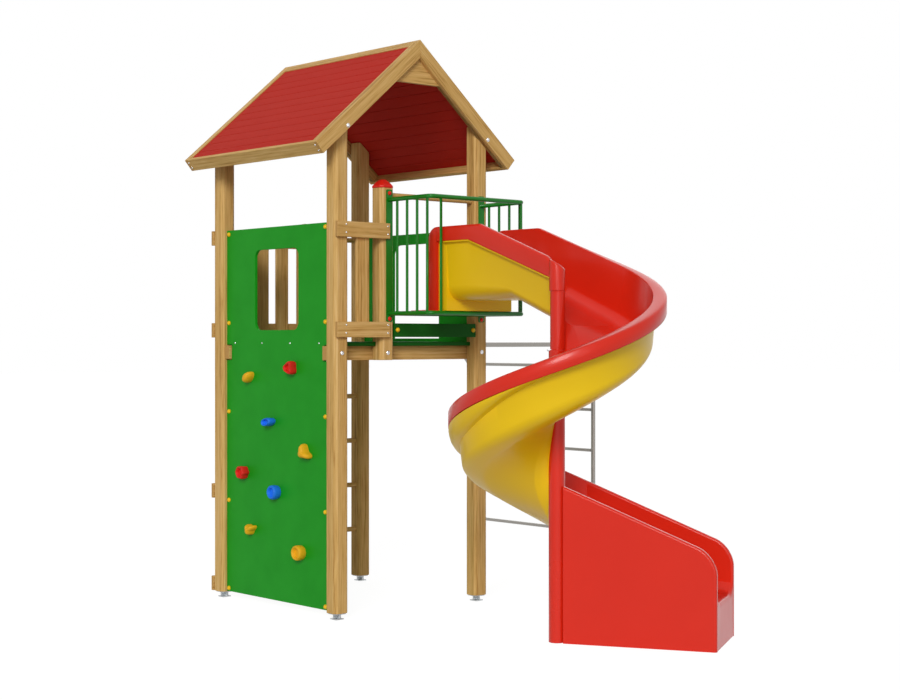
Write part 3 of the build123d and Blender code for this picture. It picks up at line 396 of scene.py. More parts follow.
def lumps(bm):
    """The separate lumps of a mesh, each as the list of its vertices."""
    seen = set()
    found = []
    for start in bm.verts:
        if start in seen:
            continue
        seen.add(start)
        lump = [start]
        for vert in lump:
            for edge in vert.link_edges:
                other = edge.other_vert(vert)
                if other not in seen:
                    seen.add(other)
                    lump.append(other)
        found.append(lump)
    return found


def mark_grain(bm, name, along):
    """Stores where each point lies in its own board, grain along Z, and which faces are cut ends."""
    turn = Vector(along).rotation_difference(Vector(UP)).to_matrix()
    place = bm.verts.layers.float_vector.new("grain")
    ends = bm.faces.layers.float.new("end_grain")
    tone = bm.faces.layers.float.new("board_tone")
    chance = random.Random(name)
    direction = Vector(along).normalized()
    for lump in lumps(bm):
        centre = centre_of(lump)
        shift = Vector((chance.uniform(-0.12, 0.12), chance.uniform(-0.12, 0.12), chance.uniform(-30, 30)))
        shade = chance.uniform(0, 1)
        for vert in lump:
            vert[place] = turn @ (vert.co - centre) + shift
            for face in vert.link_faces:
                face[tone] = shade
    for face in bm.faces:
        face[ends] = 1.0 if abs(face.normal.dot(direction)) > 0.85 else 0.0


def finish_piece(name, bm, material, replaces=(), along=None, sharp=35, weighted=False):
    """Makes the mesh an object that rides on the tower, with its finish."""
    bmesh.ops.recalc_face_normals(bm, faces=bm.faces)
    if along is not None:
        mark_grain(bm, name, along)
    mesh = bpy.data.meshes.new(name)
    bm.to_mesh(mesh)
    bm.free()
    for polygon in mesh.polygons:
        polygon.use_smooth = True
    mesh.set_sharp_from_angle(angle=math.radians(sharp))
    piece = bpy.data.objects.new(name, mesh)
    bpy.context.scene.collection.objects.link(piece)
    mesh.materials.append(material)
    if weighted:
        piece.modifiers.new("even_shading", "WEIGHTED_NORMAL").keep_sharp = True
    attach(piece, "root")
    if replaces:
        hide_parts(*replaces)


def copy_of(node):
    """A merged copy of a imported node's mesh, its flat faces joined."""
    bm = bmesh.new()
    bm.from_mesh(nodes[node].data)
    bmesh.ops.remove_doubles(bm, verts=bm.verts, dist=0.02 * MM)
    bmesh.ops.dissolve_limit(bm, angle_limit=math.radians(0.5), verts=bm.verts, edges=bm.edges)
    return bm


def round_off(bm, geom, width, segments, affect="EDGES"):
    """Rounds edges or corners, their width in millimetres."""
    bmesh.ops.bevel(bm, geom=geom, offset=width * MM, offset_type="OFFSET", segments=segments, profile=0.5,
                    affect=affect, clamp_overlap=True, material=-1)


def ease_edges(bm, width, segments=2):
    """Rounds every edge whose faces turn by more than 30 degrees."""
    sharp = [e for e in bm.edges if len(e.link_faces) == 2 and e.calc_face_angle(0) > math.radians(30)]
    round_off(bm, sharp, width, segments)


def trim(bm, point, normal, **dropped):
    """Cuts a mesh with a plane, drops one side of it and closes the cut; returns the cut's edges."""
    whole = list(bm.verts) + list(bm.edges) + list(bm.faces)
    cut = bmesh.ops.bisect_plane(bm, geom=whole, plane_co=point, plane_no=normal, **dropped)
    rim = [g for g in cut["geom_cut"] if isinstance(g, bmesh.types.BMEdge)]
    bmesh.ops.contextual_create(bm, geom=rim)
    return rim


def extend(bm, edges):
    """Extrudes a row of edges and returns the new row's vertices and its edges."""
    made = bmesh.ops.extrude_edge_only(bm, edges=edges)["geom"]
    row = {g for g in made if isinstance(g, bmesh.types.BMVert)}
    return row, [g for g in made if isinstance(g, bmesh.types.BMEdge) and set(g.verts) <= row]


def thicken(bm, along):
    """Pushes a flat face along a vector into a solid whose faces point outwards."""
    made = bmesh.ops.extrude_face_region(bm, geom=list(bm.faces))["geom"]
    bmesh.ops.translate(bm, vec=along, verts=[g for g in made if isinstance(g, bmesh.types.BMVert)])
    bmesh.ops.recalc_face_normals(bm, faces=bm.faces)


def absorb(target, source):
    """Moves one mesh into another."""
    spare = bpy.data.meshes.new("spare")
    source.to_mesh(spare)
    source.free()
    target.from_mesh(spare)
    bpy.data.meshes.remove(spare)


def dressed(node, material, width=0.0, along=None, segments=2):
    """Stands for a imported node: its own shape with rounded edges and its finish."""
    bm = copy_of(node)
    if width:
        ease_edges(bm, width, segments)
    finish_piece(node + "_finished", bm, material, (node,), along, 50 if width else 35,
                 weighted=bool(width))


def block(bm, low, high):
    """Adds a block between two corners, in millimetres, and returns its vertices."""
    size = [(b - a) * MM for a, b in zip(low, high)]
    middle = Vector([(a + b) / 2 * MM for a, b in zip(low, high)])
    made = bmesh.ops.create_cube(bm, size=1.0)["verts"]
    bmesh.ops.scale(bm, vec=size, verts=made)
    bmesh.ops.translate(bm, vec=middle, verts=made)
    return made


def turned(bm, outline, place, steps=20):
    """Spins an outline of (radius, height) about the local Z axis and sets it at a place."""
    solid = bmesh.new()
    verts, edges = open_line(solid, [(radius * MM, 0, height * MM) for radius, height in outline])
    bmesh.ops.spin(solid, geom=verts + edges, cent=(0, 0, 0), axis=UP, dvec=(0, 0, 0), angle=math.tau,
                   steps=steps, use_merge=True, use_duplicate=False)
    bmesh.ops.remove_doubles(solid, verts=solid.verts, dist=0.01 * MM)
    bmesh.ops.transform(solid, matrix=place, verts=solid.verts)
    absorb(bm, solid)


def facing(x, y, z, direction):
    """A place, in millimetres, whose local Z points in a direction."""
    turn = Vector(UP).rotation_difference(Vector(direction)).to_matrix().to_4x4()
    return Matrix.Translation(Vector((x, y, z)) * MM) @ turn


# timber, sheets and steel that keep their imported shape
for post in ("front_left_post", "back_left_post", "front_right_post", "back_right_post", "middle_post",
             "ladder_post"):
    dressed(post, timber, 3.0, UP)
for board in ("front_board", "back_upper_boards", "back_lower_boards"):
    dressed(board, timber, 2.5, UP)
for plank in ("front_planks", "back_upper_planks", "back_lower_planks", "front_beam", "back_beam"):
    dressed(plank, timber, 2.5, RIGHT)
dressed("floor_joists", timber, 2.5, BACK)
for bar in ("ladder_rungs", "grab_bar", "slide_hand_bar"):
    dressed(bar, timber, 0.0, RIGHT)
for fascia in ("left_fascia", "right_fascia"):
    dressed(fascia, timber, 2.0, BACK)
dressed("climbing_panel", green_sheet, 2.5, segments=3)
dressed("portal_panel", green_sheet, 2.5, segments=3)
dressed("threshold_board", deck_sheet, 2.0)
dressed("deck", deck_sheet, 2.0)
dressed("cage_railing", green_coat)
dressed("climber_tubes", brushed)
rungs = copy_of("climber_rungs")
for rung in lumps(rungs):
    if BEND_RUNG_LOW * MM < centre_of(rung).z < BEND_RUNG_HIGH * MM:
        bmesh.ops.translate(rungs, vec=Vector(BEND_RUNG_SHIFT) * MM, verts=rung)
finish_piece("climber_rungs_finished", rungs, brushed, ("climber_rungs",))
dressed("post_feet", galvanised, 1.0)
dressed("post_caps", red_cap, 3.0, segments=3)


# roof
def down_roof(side):
    """The direction down one side of the roof."""
    return Vector((side * math.cos(ROOF_ANGLE), 0, -math.sin(ROOF_ANGLE)))


def out_of_roof(side):
    """The direction square out of one side of the roof."""
    return Vector((side * math.sin(ROOF_ANGLE), 0, math.cos(ROOF_ANGLE)))


def slope_place(side):
    """Carries (down the slope, along Y, out of the roof) to the tower's frame for one side."""
    turn = Matrix((down_roof(side), Vector(BACK), out_of_roof(side))).transposed().to_4x4()
    return Matrix.Translation(Vector((MID_X, 0, RIDGE_Z)) * MM) @ turn


def roof_side(side, name, node):
    """Red boards laid along the roof with an open joint between them."""
    bm = bmesh.new()
    start = RIDGE_BOARD
    while start < RAFTER_LENGTH - 5:
        reach = min(start + BOARD_PITCH, RAFTER_LENGTH)
        made = block(bm, (start + BOARD_JOINT / 2, SLOPE_FRONT, -SLOPE_DROP - SLOPE_THICKNESS),
                     (reach - BOARD_JOINT / 2, SLOPE_BACK, -SLOPE_DROP))
        bmesh.ops.transform(bm, matrix=slope_place(side), verts=made)
        start = reach
    ease_edges(bm, 2.2, 2)
    finish_piece(name, bm, roof_boards, (node,), BACK, 50, True)


roof_side(-1, "roof_boards_left", "left_slope")
roof_side(1, "roof_boards_right", "right_slope")


def keep_side(bm, side):
    """Keeps one side of the upright plane under the ridge and closes the mitre."""
    trim(bm, (MID_X * MM, 0, 0), (side, 0, 0), clear_inner=True)


def gable(node, side):
    """One barge board or one rafter of a gable, mitred at the ridge."""
    bm = copy_of(node)
    keep_side(bm, side)
    if "gable_frame" in node:
        # the rafter ends where the gusset begins: its lower line is the barge board's
        down = BARGE_HEIGHT / math.cos(ROOF_ANGLE)
        trim(bm, (MID_X * MM, 0, (RIDGE_Z - down) * MM), out_of_roof(side), clear_inner=True)
    ease_edges(bm, 2.0)
    word = "left" if side < 0 else "right"
    finish_piece(f"{node}_{word}", bm, timber, (node,), down_roof(side), 50, True)


for gable_node in ("front_barge_boards", "back_barge_boards", "front_gable_frame", "back_gable_frame"):
    for gable_side in (-1, 1):
        gable(gable_node, gable_side)


def gusset_piece(name, node, near, far):
    """The three-cornered timber filling under the ridge."""
    down = (BARGE_HEIGHT + 0.5) / math.cos(ROOF_ANGLE)
    reach = (RIDGE_Z - down - GUSSET_FOOT_Z) / math.tan(ROOF_ANGLE)
    bm = bmesh.new()
    corners = [(MID_X, RIDGE_Z - down), (MID_X - reach, GUSSET_FOOT_Z), (MID_X + reach, GUSSET_FOOT_Z)]
    verts = [bm.verts.new((x * MM, near * MM, z * MM)) for x, z in corners]
    bm.faces.new(verts)
    thicken(bm, (0, (far - near) * MM, 0))
    ease_edges(bm, 1.5)
    finish_piece(name, bm, timber, (node,), RIGHT, 50, True)


gusset_piece("front_gusset", "front_gable_frame", ROOF_FRONT + GABLE_BOARD, SLOPE_FRONT)
gusset_piece("back_gusset", "back_gable_frame", SLOPE_BACK, ROOF_BACK - GABLE_BOARD)

ridge_bm = copy_of("ridge_boards")
for ridge_side in (-1, 1):
    half_bm = ridge_bm.copy()
    keep_side(half_bm, ridge_side)
    ease_edges(half_bm, 1.5)
    finish_piece("ridge_board_left" if ridge_side < 0 else "ridge_board_right", half_bm, timber,
                 ("ridge_boards",), BACK, 50, True)
ridge_bm.free()

# fasteners: outlines of (radius, height)
CAP = ((13.0, 0), (13.0, 1.5), (12.4, 4.2), (10.6, 7.6), (7.8, 10.2), (4.2, 11.9), (0, 12.5))
SMALL_CAP = ((12.0, 0), (12.0, 1.5), (10.8, 4.5), (7.6, 7.6), (4.0, 9.0), (0, 9.6))
SCREW = ((5.2, 0), (5.2, 1.0), (4.2, 2.6), (2.6, 3.4), (2.4, 2.2), (0, 2.0))
WASHER_BOLT = ((12.0, 0), (12.0, 2.0), (10.2, 2.4), (9.4, 3.2), (7.4, 6.2), (4.2, 8.0), (0, 8.7))


def fasteners(name, outline, places, material, steps=20):
    """One kind of fastener at several places, each (x, y, z, direction)."""
    bm = bmesh.new()
    for x, y, z, direction in places:
        turned(bm, outline, facing(x, y, z, direction), steps)
    finish_piece(name, bm, material, sharp=60)


# where the caps go: their Y or X, and their heights
PANEL_CAP_ROWS = (82.0, 1018.0)
PANEL_CAP_HEIGHTS = (2127.0, 1609.6, 1092.6, 574.0, 59.0)
PORTAL_CAP_ROWS = (78.0, 1012.0)
PORTAL_CAP_HEIGHTS = (2127.0, 1826.0, 1525.0)
THRESHOLD_CAPS = (385.0, 947.0)
THRESHOLD_CAP_Z = 1567.0
RAILING_HALF = 342.0
RAILING_CAP_HEIGHTS = (2320.0, 1627.0)

# planks and slats by their lower or left edges, and where their screws sit
PANEL_SCREW_ROWS = (141.7, 411.7, 683.8, 954.6)
PANEL_SCREW_Z = 1493.0
UPPER_PLANKS = (2067.0, 1525.0)
LOWER_PLANKS = (580.0, 35.0)
PLANK_SCREWS = (24, 68)
FRONT_SCREWS = (11.8, 300.7)
BACK_SCREWS = (11.8, LADDER_POST_X - 16)
SLATS = (107.0, 252.0, 396.0)
SLAT_SCREWS = (22, 63)
FASCIA_SCREWS = (20, 56)
FASCIA_SCREW_INSET = 24

# bolts of the beams and of the gables
BEAM_BOLT_Z = 1440.7
FRONT_BEAM_BOLTS = (-2.0, 316.0, 1014.0)
BACK_BEAM_BOLTS = (0.0, LADDER_POST_X, BAY_X)
GABLE_BOLT_Z = 2663.0
GABLE_BOLTS = (0.0, 1016.0)

caps = [(PANEL_FACE_X, y, z, LEFT) for y in PANEL_CAP_ROWS for z in PANEL_CAP_HEIGHTS]
caps += [(PORTAL_FACE_X, y, z, RIGHT) for y in PORTAL_CAP_ROWS for z in PORTAL_CAP_HEIGHTS]
caps += [(x, FRONT_FACE, THRESHOLD_CAP_Z, FRONT) for x in THRESHOLD_CAPS]
fasteners("panel_caps", CAP, caps, yellow_cap)

railing_caps = [(BAY_CENTRE_X + side * RAILING_HALF, FRONT_FACE - 5.0, z, FRONT) for side in (-1, 1)
                for z in RAILING_CAP_HEIGHTS]
fasteners("railing_caps", SMALL_CAP, railing_caps, red_cap)

screws = [(PANEL_FACE_X, y, PANEL_SCREW_Z, LEFT) for y in PANEL_SCREW_ROWS]
for low in UPPER_PLANKS + LOWER_PLANKS:
    for up in PLANK_SCREWS:
        if low in UPPER_PLANKS:
            screws += [(x, FRONT_FACE - PLANK, low + up, FRONT) for x in FRONT_SCREWS]
        screws += [(x, BACK_FACE + PLANK, low + up, BACK) for x in BACK_SCREWS]
for left in SLATS:
    for low in UPPER_PLANKS + LOWER_PLANKS:
        screws += [(left + across, BACK_FACE + PLANK, low + 42, BACK) for across in SLAT_SCREWS]
for side in (-1, 1):
    eave = down_roof(side)
    for y in (SLOPE_FRONT - FASCIA_SCREW_INSET, SLOPE_BACK + FASCIA_SCREW_INSET):
        for down in FASCIA_SCREWS:
            spot = Vector((MID_X, y, RIDGE_Z)) + eave * FASCIA_FACE - out_of_roof(side) * down
            screws.append((spot.x, spot.y, spot.z, eave))
fasteners("screws", SCREW, screws, stainless, 14)

bolts = [(x, FRONT_FACE, BEAM_BOLT_Z, FRONT) for x in FRONT_BEAM_BOLTS]
bolts += [(x, BACK_FACE, BEAM_BOLT_Z, BACK) for x in BACK_BEAM_BOLTS]
bolts += [(x, ROOF_FRONT, GABLE_BOLT_Z, FRONT) for x in GABLE_BOLTS]
bolts += [(x, ROOF_BACK, GABLE_BOLT_Z, BACK) for x in GABLE_BOLTS]
fasteners("coach_bolts", WASHER_BOLT, bolts, stainless, 18)


# slide
def outline_face(bm, points):
    """A face from (across, up, corner) points in the XZ plane, its corners rounded; returns its edges."""
    verts = [bm.verts.new((u * MM, 0, z * MM)) for u, z, corner in points]
    bm.faces.new(verts)
    for vert, (u, z, corner) in zip(verts, points):
        if corner:
            round_off(bm, [vert], corner, max(3, min(10, round(corner / 5))), "VERTICES")
    edges = list(bm.edges)
    bmesh.ops.delete(bm, geom=list(bm.faces), context="FACES_ONLY")
    return edges


def swept(bm, points, stations):
    """Sweeps a rounded outline through stations, each a function from (across, up) to a place in space."""
    first = outline_face(bm, points)
    number = bm.verts.layers.int.new("station")
    last = first
    for index in range(1, len(stations)):
        fresh, last = extend(bm, last)
        for vert in fresh:
            vert[number] = index
    for vert in bm.verts:
        vert.co = Vector(stations[vert[number]](vert.co.x / MM, vert.co.z / MM)) * MM
    for ring in (first, last):
        bmesh.ops.contextual_create(bm, geom=ring)


def between(value, knots, targets):
    """Carries a value from one set of knots to another, straight between them."""
    if value <= knots[0]:
        return value - knots[0] + targets[0]
    for low, high, first, last in zip(knots, knots[1:], targets, targets[1:]):
        if value <= high:
            return first + (value - low) * (last - first) / (high - low)
    return value - knots[-1] + targets[-1]


def smooth(share):
    """A share from 0 to 1 that starts and ends level."""
    share = max(0.0, min(1.0, share))
    return share * share * (3 - 2 * share)


def rim_height(y, level_end, descent, ease_length):
    """Height of a rim of the straight part at y: level to level_end, eased, then a steady fall."""
    run = max(0.0, level_end - y)
    ease = min(run, ease_length)
    return RIM_START - descent * (run - ease + ease * ease / (2 * ease_length))


TURN_RIM = rim_height(AXIS_Y, LEVEL_END_Y, FAR_DESCENT, RIM_EASE)
EXIT_RIM = TURN_RIM - TURN * DROP_PER_DEGREE
TURN_FLOOR = TURN_RIM - TROUGH_DEPTH
LEFT_EDGE = BAY_CENTRE_X - SLIDE_HALF - AXIS_X
RIGHT_EDGE = BAY_CENTRE_X + SLIDE_HALF - AXIS_X
LEFT_WALL = LEFT_EDGE + STRAIGHT_RIM
RIGHT_WALL = RIGHT_EDGE - STRAIGHT_RIM
LEFT_FOOT = LEFT_WALL + NEAR_LEAN
RIGHT_FOOT = RIGHT_WALL - FAR_LEAN
ACROSS_KNOTS = (LEFT_EDGE, LEFT_WALL - 2 * SKIN, LEFT_WALL, RIGHT_WALL, RIGHT_WALL + 2 * SKIN, RIGHT_EDGE)
HEIGHT_KNOTS = (FLOOR_START, RIM_START - RIM_DEPTH - FLANGE, RIM_START - RIM_DEPTH, RIM_START)


def across_targets(inner, near_rim, outer, far_rim):
    """Where the outline's knots go in a section with other edges and rim widths."""
    return (inner, inner + near_rim - 2 * SKIN, inner + near_rim,
            outer - far_rim, outer - far_rim + 2 * SKIN, outer)


def straight_station(y, top_drop=0.0):
    """The section of the straight part at y: its far side takes the turn's width near the column."""
    share = smooth((BLEND_Y - y) / (BLEND_Y - AXIS_Y))
    near_share = smooth((NEAR_BLEND_Y - y) / (NEAR_BLEND_Y - AXIS_Y))
    across = across_targets(LEFT_EDGE, STRAIGHT_RIM, RIGHT_EDGE + (RIM_RADIUS - RIGHT_EDGE) * share,
                            STRAIGHT_RIM + (RIM_WIDTH - STRAIGHT_RIM) * share)
    run = max(0.0, FLOOR_FALL_Y + FLOOR_EASE / 2 - y)
    ease = min(run, FLOOR_EASE)
    slope = (FLOOR_START - TURN_FLOOR) / (FLOOR_FALL_Y - AXIS_Y)
    floor = FLOOR_START - slope * (run - ease + ease * ease / (2 * FLOOR_EASE))
    near_top = rim_height(y, NEAR_LEVEL_END_Y, NEAR_DESCENT, RIM_EASE) - top_drop
    near_top -= NEAR_WALL_DROP * smooth((NEAR_WALL_DROP_Y - y) / (NEAR_WALL_DROP_Y - AXIS_Y))
    near_band = RIM_START - RIM_DEPTH - NEAR_BAND_DESCENT * max(0.0, NEAR_BAND_LEVEL_END_Y - y)
    far_top = rim_height(y, LEVEL_END_Y, FAR_DESCENT, RIM_EASE) - top_drop
    near_heights = (floor, near_band - FLANGE, near_band, near_top)
    far_heights = (floor, far_top - RIM_DEPTH - FLANGE, far_top - RIM_DEPTH, far_top)
    middle = (LEFT_EDGE + RIGHT_EDGE) / 2
    # the bowl moves over to the turn's inner side, the wall above it runs straight into the column
    bowl_shift = near_share * (TURN_INNER + 2 * SKIN - LEFT_WALL)

    def place(u, z):
        reach = AXIS_X + between(u, ACROSS_KNOTS, across)
        if u > middle:
            return (reach, y, between(z, HEIGHT_KNOTS, far_heights))
        low = 1 - smooth((z - FLOOR_START - BOWL_TOP) / BOWL_FADE)
        return (reach + bowl_shift * low, y, between(z, HEIGHT_KNOTS, near_heights))
    return place


def headings(angle):
    """The directions out from the column and ahead along the slide, at an angle of its turn."""
    turn = math.radians(-angle)
    return (math.cos(turn), math.sin(turn), 0), (math.sin(turn), -math.cos(turn), 0)


def turn_station(angle, forward, lip):
    """The section of the turn at an angle, or forward of it; it narrows to the exit near the end."""
    share = smooth((angle - NARROWING_ANGLE) / (TURN - NARROWING_ANGLE))
    across = across_targets(TURN_INNER, 2 * SKIN, RIM_RADIUS + (EXIT_FAR - RIM_RADIUS) * share,
                            RIM_WIDTH + (EXIT_WALL - RIM_WIDTH) * share)
    top = TURN_RIM - DROP_PER_DEGREE * angle - EXIT_TOP_SLOPE * forward
    floor = TURN_FLOOR - DROP_PER_DEGREE * angle - EXIT_FLOOR_SLOPE * forward
    heights = (floor, top - RIM_DEPTH - lip, top - RIM_DEPTH, top)
    out, ahead = headings(angle)

    def place(u, z):
        reach = between(u, ACROSS_KNOTS, across)
        return (AXIS_X + out[0] * reach + ahead[0] * forward, AXIS_Y + out[1] * reach + ahead[1] * forward,
                between(z, HEIGHT_KNOTS, heights))
    return place


def trough(column_beside):
    """The red liner's outline: two rims, or only the outer one where the column closes the inner side."""
    band = RIM_START - RIM_DEPTH
    under = FLOOR_START - SKIN
    if column_beside:
        low = FLOOR_START + COLUMN_LIFT
        start = [(LEFT_WALL, low, 0)]
    else:
        low = band
        start = [(LEFT_EDGE, band, 4), (LEFT_EDGE, RIM_START, 12), (LEFT_WALL, RIM_START, 8)]
    inside = [(LEFT_FOOT, FLOOR_START, NEAR_BOWL), (RIGHT_FOOT, FLOOR_START, FAR_BOWL),
              (RIGHT_WALL, RIM_START, 6)]
    outside = [(RIGHT_EDGE, RIM_START, 10), (RIGHT_EDGE, band, 3), (RIGHT_WALL + SKIN, band, 0),
               (RIGHT_FOOT + SKIN, under, FAR_BOWL + SKIN), (LEFT_FOOT - SKIN, under, NEAR_BOWL + SKIN)]
    return start + inside + outside + [(LEFT_WALL - SKIN, low, 0)]


def belly(column_beside):
    """The yellow shell's outline under the liner, with a rounded flange under each rim band."""
    band = RIM_START - RIM_DEPTH
    near = SKIN - 1
    far = 2 * SKIN
    flange = band - FLANGE
    edge = RIGHT_EDGE - 0.5
    roll = [(edge, band - 0.5, 0), (edge, band - 1.2, 0), (edge - 0.8, band - 2.8, 0),
            (edge - 3.1, band - 4.9, 0), (edge - 7.1, band - 6.6, 0), (edge - 12.0, band - 7.6, 0)]
    inside = [(LEFT_FOOT - near, FLOOR_START - near, NEAR_BOWL + 4),
              (RIGHT_FOOT + near, FLOOR_START - near, FAR_BOWL + 3), (RIGHT_WALL + near, band - 0.5, 0)]
    outside = [(RIGHT_WALL + far, flange, 5), (RIGHT_FOOT + far, FLOOR_START - far, FAR_BOWL + far),
               (LEFT_FOOT - far, FLOOR_START - far, NEAR_BOWL + far)]
    if column_beside:
        low = FLOOR_START + COLUMN_LIFT - SKIN
        start = [(LEFT_WALL - near, low, 0)]
        finish = [(LEFT_WALL - far, low, 0)]
    else:
        start = [(LEFT_EDGE + 0.5, band - 0.5, 0), (LEFT_WALL - near, band - 0.5, 0)]
        finish = [(LEFT_WALL - far, flange, 5), (LEFT_EDGE + 0.5, flange, 3)]
    return start + inside + roll + outside + finish


def lip_height(angle):
    """Height of the yellow lip under the red band: it grows into a deep roll round the turn."""
    return LIP_START + (LIP_FULL - LIP_START) * smooth((angle - LIP_ANGLE) / LIP_GROWTH)


def quarter_round(count):
    """Shares along a quarter circle, each with how far the circle still falls short of its top."""
    for number in range(count + 1):
        share = number / count
        yield share, 1 - math.sqrt(1 - (1 - share) ** 2)


def straight_stations(first, last, step):
    """Evenly spaced sections of the straight part."""
    count = max(1, round((first - last) / step))
    return [straight_station(first + (last - first) * n / count) for n in range(count + 1)]


def turn_stations(lip):
    """Sections of the whole turn, and two that run on into the exit; lip gives its depth by angle."""
    angles = [TURN * n / TURN_STEPS for n in range(TURN_STEPS + 1)]
    return [turn_station(angle, 0.0, lip(angle)) for angle in angles] + [
        turn_station(TURN, forward, lip(TURN)) for forward in (EXIT_START / 2, EXIT_START + 1)]


def moulding(name, outline, stations, material, node):
    """A length of the red trough with its rims, or of the yellow shell under it."""
    bm = bmesh.new()
    swept(bm, outline, stations)
    finish_piece(name, bm, material, (node,), sharp=48)


moulding("slide_entry_trough", trough(False), straight_stations(FRAME_END_Y + 2, AXIS_Y, STATION_STEP),
         red_shell, "slide_entry_liner")
moulding("slide_turn_trough", trough(True), turn_stations(lambda angle: FLANGE), red_shell,
         "slide_turn_liner")
moulding("slide_entry_belly", belly(False), straight_stations(STRIP_END_Y + SKIN, AXIS_Y, STATION_STEP),
         yellow_shell, "slide_entry_shell")
moulding("slide_turn_belly", belly(True), turn_stations(lip_height), yellow_shell,
         "slide_turn_shell")

# red frame at the slide's entry, its top corner rounded
entry_frame = bmesh.new()
frame_points = [(LEFT_EDGE, BOX_BOTTOM, 4), (LEFT_EDGE, RIM_START, 12), (LEFT_WALL, RIM_START, 11),
                (LEFT_FOOT, FLOOR_START, NEAR_BOWL), (RIGHT_WALL - NEAR_LEAN, FLOOR_START, NEAR_BOWL),
                (RIGHT_WALL, RIM_START, 11), (RIGHT_EDGE, RIM_START, 12), (RIGHT_EDGE, BOX_BOTTOM, 4)]
frame_stations = [straight_station(START_Y - FRAME_CORNER * share, top_drop=FRAME_CORNER * gap)
                  for share, gap in quarter_round(10)]
swept(entry_frame, frame_points, frame_stations + [straight_station(FRAME_END_Y)])
finish_piece("slide_entry_frame", entry_frame, red_shell, ("slide_entry_liner",), sharp=40)

# yellow block behind the red frame: flat sides, a flat front plate round the belly and a flat underside
entry_block = bmesh.new()
band = RIM_START - RIM_DEPTH
seat = SKIN - 1
block_points = [(LEFT_WALL - 2 * SKIN, BOX_BOTTOM, 2), (LEFT_WALL - 2 * SKIN, band + 4, 0),
                (LEFT_WALL - seat, band + 4, 0), (LEFT_FOOT - seat, FLOOR_START - seat, NEAR_BOWL + 4),
                (RIGHT_FOOT + seat, FLOOR_START - seat, FAR_BOWL + 3), (RIGHT_WALL + seat, band + 4, 0),
                (RIGHT_WALL + 2 * SKIN, band + 4, 0), (RIGHT_WALL + 2 * SKIN, BOX_BOTTOM, 2)]
swept(entry_block, block_points, straight_stations(FRAME_END_Y, STRIP_END_Y, 30))
finish_piece("slide_entry_base", entry_block, yellow_shell, ("slide_entry_shell",),
             sharp=50)

# pan from the tower's front to the slide's floor
pan = bmesh.new()
pan_line = [(PAN_FRONT, BOX_BOTTOM + SKIN), (-190.0, BOX_BOTTOM + SKIN + 2), (-225.0, BOX_BOTTOM + 24),
            (-255.0, FLOOR_START - 16), (START_Y, FLOOR_START), (FRAME_END_Y, FLOOR_START + 0.5)]
_, pan_edges = open_line(pan, [((BAY_CENTRE_X - PAN_HALF) * MM, y * MM, z * MM) for y, z in pan_line])
pan_side, _ = extend(pan, pan_edges)
bmesh.ops.translate(pan, vec=(2 * PAN_HALF * MM, 0, 0), verts=list(pan_side))
bmesh.ops.recalc_face_normals(pan, faces=pan.faces)
bmesh.ops.solidify(pan, geom=list(pan.faces), thickness=(SKIN - 0.5) * MM)
finish_piece("slide_entry_pan", pan, red_shell, ("slide_entry_liner",), sharp=50)

# column: three red sleeves, the top one cut to the fall of the rim beside it
column_sleeves = bmesh.new()
for radius, low, high, shift in SLEEVES:
    sleeve = bmesh.new()
    outline = ((0, low), (radius - 2, low), (radius, low + 2),
               (radius, high - 2), (radius - 2, high), (0, high))
    turned(sleeve, outline, facing(AXIS_X + shift * CUT_SIDE.x, AXIS_Y + shift * CUT_SIDE.y, 0, UP), 56)
    if high > COLUMN_TOP:
        start = Vector((AXIS_X, AXIS_Y, COLUMN_TOP)) * MM - CUT_SIDE * radius * MM
        rim = trim(sleeve, start, CUT_SIDE * COLUMN_CUT + Vector(UP), clear_outer=True)
        round_off(sleeve, rim, 12, 4)
    absorb(column_sleeves, sleeve)
finish_piece("slide_column_sleeves", column_sleeves, red_tube, ("slide_column",), sharp=40)

# small steel lug on top of the lower sleeve
bracket = bmesh.new()
bracket_place = Matrix.Translation(Vector((AXIS_X, AXIS_Y, 0)) * MM) @ Matrix.Rotation(LUG_TURN, 4, "Z")
block(bracket, (-50.0, -16.0, LUG_Z), (-20.0, 16.0, LUG_Z + 10))
bmesh.ops.transform(bracket, matrix=bracket_place, verts=bracket.verts)
ease_edges(bracket, 1.5)
finish_piece("column_bracket", bracket, galvanised, sharp=50, weighted=True)

# exit: two walls with rounded tops, a dished chute and its end
exit_side, exit_ahead = map(Vector, headings(TURN))


def exit_point(along, across, up):
    """A point of the exit, along it from the column's axis, across it and up."""
    flat = Vector((AXIS_X, AXIS_Y, 0)) + exit_ahead * along + exit_side * across
    return Vector((flat.x, flat.y, up)) * MM


def exit_wall(across, rise):
    """A wall of the exit: its sloping top runs into a rounded end, and its upper edges are rounded."""
    bm = bmesh.new()
    start_z = EXIT_RIM + rise - EXIT_TOP_SLOPE * EXIT_START
    end_z = EXIT_RIM + rise - EXIT_TOP_SLOPE * EXIT_LENGTH
    outline = [(EXIT_START, 0), (EXIT_START, start_z), (EXIT_LENGTH, end_z), (EXIT_LENGTH, 0)]
    verts = [bm.verts.new(exit_point(along, across, z)) for along, z in outline]
    bm.faces.new(verts)
    round_off(bm, [verts[2]], EXIT_CORNER, 14, "VERTICES")
    thicken(bm, exit_side * EXIT_WALL * MM)
    upper = []
    for edge in bm.edges:
        middle = (edge.verts[0].co + edge.verts[1].co) / 2
        run = (middle - exit_point(0, across, 0)).dot(exit_ahead)
        level = abs((edge.verts[0].co - edge.verts[1].co).normalized().dot(exit_side)) < 0.5
        if level and middle.z > 1 * MM and run > (EXIT_START + 1) * MM:
            upper.append(edge)
    round_off(bm, upper, EXIT_EDGE, 5)
    return bm


